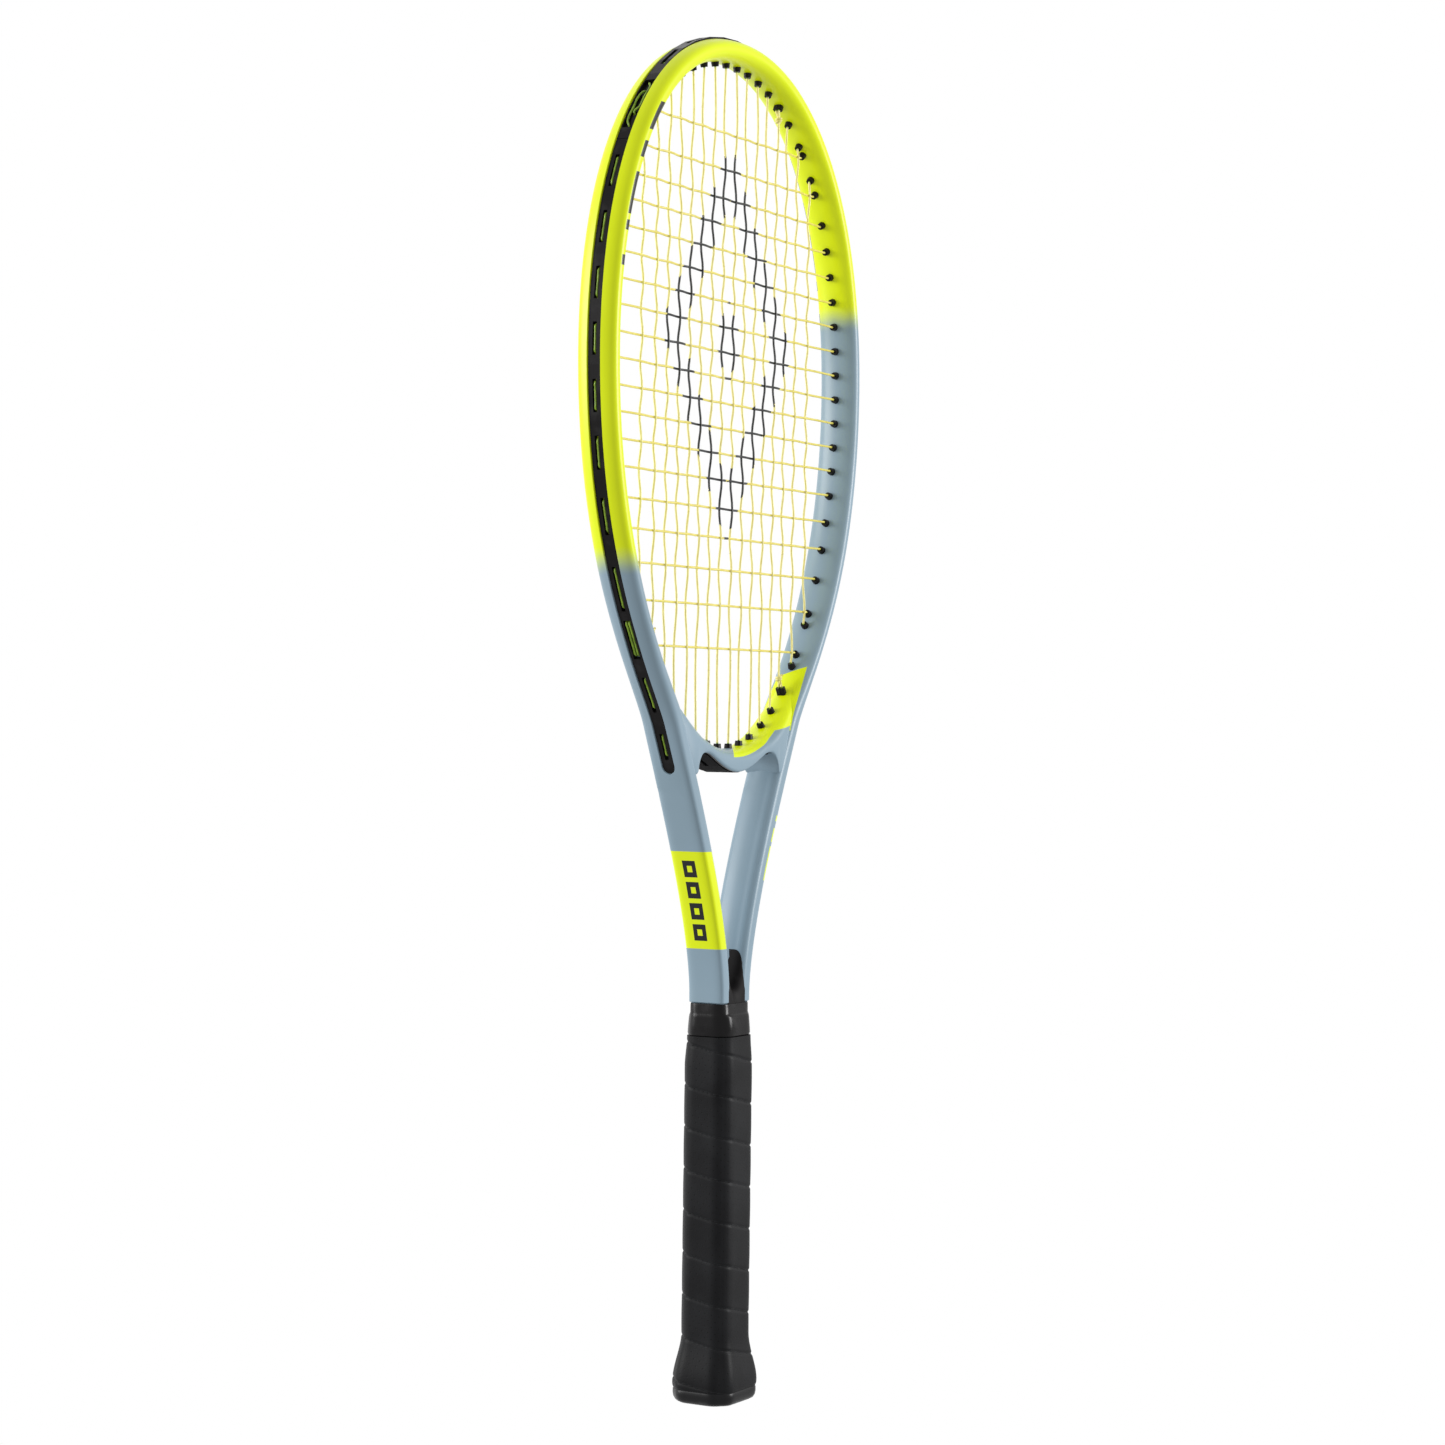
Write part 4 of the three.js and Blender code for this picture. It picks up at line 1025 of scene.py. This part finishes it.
def wrap_height(turn):
    """Height of the wound strip across its width: a slight crown between a deep seam and a rolled edge."""
    return 0.12 * math.sin(math.pi * turn) - 0.6 * (1 - step(0, 0.06, turn)) - 0.45 * step(0.962, 1, turn)


def wrapped_grip():
    """A strip wound up the handle, with an inner skin behind it so that it stays a closed sleeve."""
    bottom, top = GRIP_STACK[0][1], GRIP_STACK[-1][1]
    rings = []
    turns = []
    rounds = []
    for i in range(GRIP_RINGS + 1):
        z = mix(bottom, top, i / GRIP_RINGS)
        ring = octagon(stacked(GRIP_STACK, z), z, 12, 1.7)
        shares = [math.atan2(point.y, point.x) / math.tau for point in ring]
        turn_row = [(z / GRIP_PITCH + share + GRIP_PHASE) % 1 for share in shares]
        wound = step(bottom, bottom + 1.6, z)
        heights = [wrap_height(turn) * wound - 0.35 * (1 - wound) - 0.1 for turn in turn_row]
        ways = [Vector((point.x, point.y, 0)).normalized() for point in ring]
        rings.append([point + way * height for point, way, height in zip(ring, ways, heights)])
        turns.append(turn_row)
        rounds.append([share % 1 for share in shares])
    rings += [[Vector((p.x * GRIP_SKIN, p.y * GRIP_SKIN, p.z)) for p in rings[i]] for i in GRIP_LINING]
    turns += [turns[i] for i in GRIP_LINING]
    rounds += [rounds[i] for i in GRIP_LINING]
    piece = loft("wrapped_grip", rings, joined=True, marks={"turn": turns, "round": rounds})
    return smooth(piece, 40)


def butt_cap():
    """The cap's rounded flange below the grip, with the badge's recess in its end."""
    flange = [
        ((15.6, 13, 5.5), 0),
        ((17.4, 14.8, 6), 0.25),
        ((18.9, 16.2, 6.5), 1.1),
        ((19.7, 16.9, 6.9), 2.4),
        ((20, 17.2, 7), 4.2),
        ((20, 17.2, 7), 6.2),
        ((19.7, 16.9, 6.9), 6.8),
        ((17.6, 14.9, 6.2), 7.2),
    ]
    rings = [octagon(shape, z, 12, 1.6) for shape, z in flange]
    ways = [Vector((point.x, point.y, 0)).normalized() for point in rings[0]]
    recess = ((11.3, 2.3), (11.3, 0.25), (11.5, 0))
    circles = [[way * radius + Vector((0, 0, z)) for way in ways] for radius, z in recess]
    return smooth(loft("cap_flange", circles + rings), 40)


def badge():
    """The disc in the butt: a raised rim, a dished field and a plain raised ring."""
    deselect()
    place = (0, 0, 1.25 * MM)
    bpy.ops.mesh.primitive_cylinder_add(vertices=64, radius=11 * MM, depth=1.5 * MM, location=place)
    piece = bpy.context.object
    piece.name = "butt_badge_disc"
    bpy.ops.object.transform_apply(location=True, rotation=True, scale=True)
    bpy.ops.object.mode_set(mode="EDIT")
    bpy.ops.mesh.select_all(action="DESELECT")
    bpy.ops.object.mode_set(mode="OBJECT")
    for face in piece.data.polygons:
        face.select = face.normal.z < -0.9
    bpy.ops.object.mode_set(mode="EDIT")
    bpy.ops.mesh.select_mode(type="FACE")
    for inset, sink in ((0.9, 0.35), (2.4, 0.0), (0.4, -0.3), (1.0, 0.0), (0.4, 0.3)):
        bpy.ops.mesh.inset(thickness=inset * MM, depth=0)
        bpy.ops.transform.translate(value=(0, 0, sink * MM))
    bpy.ops.object.mode_set(mode="OBJECT")
    return smooth(bevel(piece, 0.12, 2), 30)


def collar():
    """The rubber collar: a lip that holds the shaft and a fuller skirt over the grip's end."""
    outside = [
        ((14.25, 12.1, 4.6), 184.2),
        ((14.7, 12.6, 4.8), 184.5),
        ((15, 12.9, 4.95), 185.6),
        ((14.9, 12.6, 4.9), 190),
        ((14.75, 12.2, 4.7), 193.6),
        ((14.7, 11.9, 4.5), 194.6),
        ((14.55, 11.2, 3.7), 195.3),
        ((14.45, 10.75, 3.2), 195.9),
        ((14.45, 10.6, 3.05), 199.9),
        ((14.35, 10.45, 3), 200.5),
        ((14, 10.1, 2.7), 200.7),
    ]
    inside = [
        ((13.6, 9.6, 1.9), 200.3),
        ((13.6, 9.6, 1.9), 197.5),
        ((13.6, 11.4, 4.3), 194),
        ((13.9, 11.9, 4.5), 184.4),
    ]
    rings = [octagon(shape, z, 10, 1.5) for shape, z in outside]
    rings += [octagon(shape, z, 10, 0.6) for shape, z in inside]
    return smooth(loft("collar_ring", rings, joined=True), 40)


def grommet_collars():
    """The short tapered collar that stands round each string on the inside of the head."""
    root, rim, height = (size * MM for size in COLLAR_CONE)
    made = []
    for grommet in grommets:
        deselect()
        bpy.ops.mesh.primitive_cone_add(vertices=10, radius1=root, radius2=rim, depth=height)
        piece = bpy.context.object
        turn = (-grommet.way).to_track_quat("Z", "Y").to_matrix().to_4x4()
        centre = grommet.turn + grommet.way * 1.75
        piece.matrix_world = Matrix.Translation(centre * MM) @ turn
        bpy.ops.object.transform_apply(location=True, rotation=True, scale=True)
        made.append(piece)
    return join("grommet_collars", made)


def knot(centre, tail):
    """Two lapped turns round a main and a short cut tail."""
    points = []
    radius = 2 * STRING_RADIUS + 0.08
    steps, pitch = 16, 1.2
    for i in range(2 * steps + 1):
        angle = math.tau * i / steps
        rise = (i / steps - 1) * pitch
        points.append(centre + Vector((math.cos(angle) * radius, math.sin(angle) * radius, rise)))
    points.append(points[-1] + tail)
    return points


def on_main(main, z):
    run = main_run(main)
    for a, b in zip(run, run[1:]):
        if a.z >= z >= b.z:
            return a.lerp(b, (a.z - z) / (a.z - b.z))
    return run[-1]


def tie_offs():
    """The four knots, with the string that leads to each from its grommet."""
    # Main tied to, grommet the string comes from, its place in that grommet, the knot's rise, and its tail.
    ties = (
        (mains[1], crosses[-1].left, SHARED, 6.4, (1.1, -0.8, 0.7)),
        (mains[-3], mains[-3].bottom, -SHARED, 4.4, (1.0, -0.9, 0.7)),
        (mains[-4], mains[-4].top, SHARED, -5, (0.8, 1.2, -1.2)),
        (mains[0], mains[0].bottom, -SHARED, 3.6, (1.0, -0.9, 0.8)),
    )
    knots = []
    for main, grommet, y, rise, tail in ties:
        start = turn_point(grommet, y)
        turns = knot(on_main(main, start.z + rise), Vector(tail))
        knots.append([start, start.lerp(turns[0], 0.6)] + turns)
    return knots


# ------------------------------------------------------------------------------- assembly

aim_camera()
studio()

PAINT = frame_paint()
BLACK = nylon("black_nylon")
RUBBER = rubber("black_rubber")
GOLD = string_look("main_gold", (0.96, 0.88, 0.34, 1), (0.92, 0.82, 0.27, 1))
AMBER = string_look("cross_gold", (0.94, 0.83, 0.2, 1), (0.88, 0.75, 0.14, 1))
# The gold string's runs along the slots are coloured dark green. This is painted shade in the recessed
# channel and a painted reflection of the lime paint.
SLOT_STRING_SHADE = string_look("slot_string_painted_shade", (0.3, 0.48, 0.03, 1), (0.2, 0.34, 0.02, 1))

finish(beam(), "frame_paint", PAINT, "frame")
finish(bridge(), "bridge_paint", bridge_paint(), "throat_bridge")
finish(wedge(), "black_rubber", nylon("wedge_nylon", NYLON, 0.55), "shaft_wedge")
finish(lay_string("mains", [main_run(main) for main in mains]), "string", GOLD, "main_string")
finish(lay_string("crosses", [cross_run(cross) for cross in crosses]), "string", AMBER, "cross_string")
finish(lay_string("string_loops", main_loops() + cross_loops(), steps=3), "string", SLOT_STRING_SHADE)
finish(lay_string("tie_off_knots", tie_offs(), 0.62, steps=3), "string", GOLD)
finish(grommet_collars(), "black_plastic", BLACK)
finish(wrapped_grip(), "grip_leather", grip_leather(), "grip")
finish(butt_cap(), "black_plastic", cap_plastic(), "butt_cap")
finish(badge(), "black_plastic", nylon("badge_plastic", (0.02, 0.02, 0.022, 1), 0.2), "butt_badge")
finish(collar(), "black_rubber", RUBBER, "collar")

KEPT = {
    "head_guard": nylon("guard_nylon", NYLON, 0.24),
    "side_strip_left": BLACK,
    "side_strip_right": BLACK,
    "throat_strip": nylon("throat_nylon", NYLON, 0.8),
    "pallet_front": foam("pallet_foam"),
    "pallet_back": foam("pallet_foam_back"),
    "finishing_tape": tape_look(),
}
KEPT.update(dict.fromkeys((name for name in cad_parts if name.startswith("cap_staple")), staple_steel()))
for name, look in KEPT.items():
    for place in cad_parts[name].material_slots:
        place.material = look
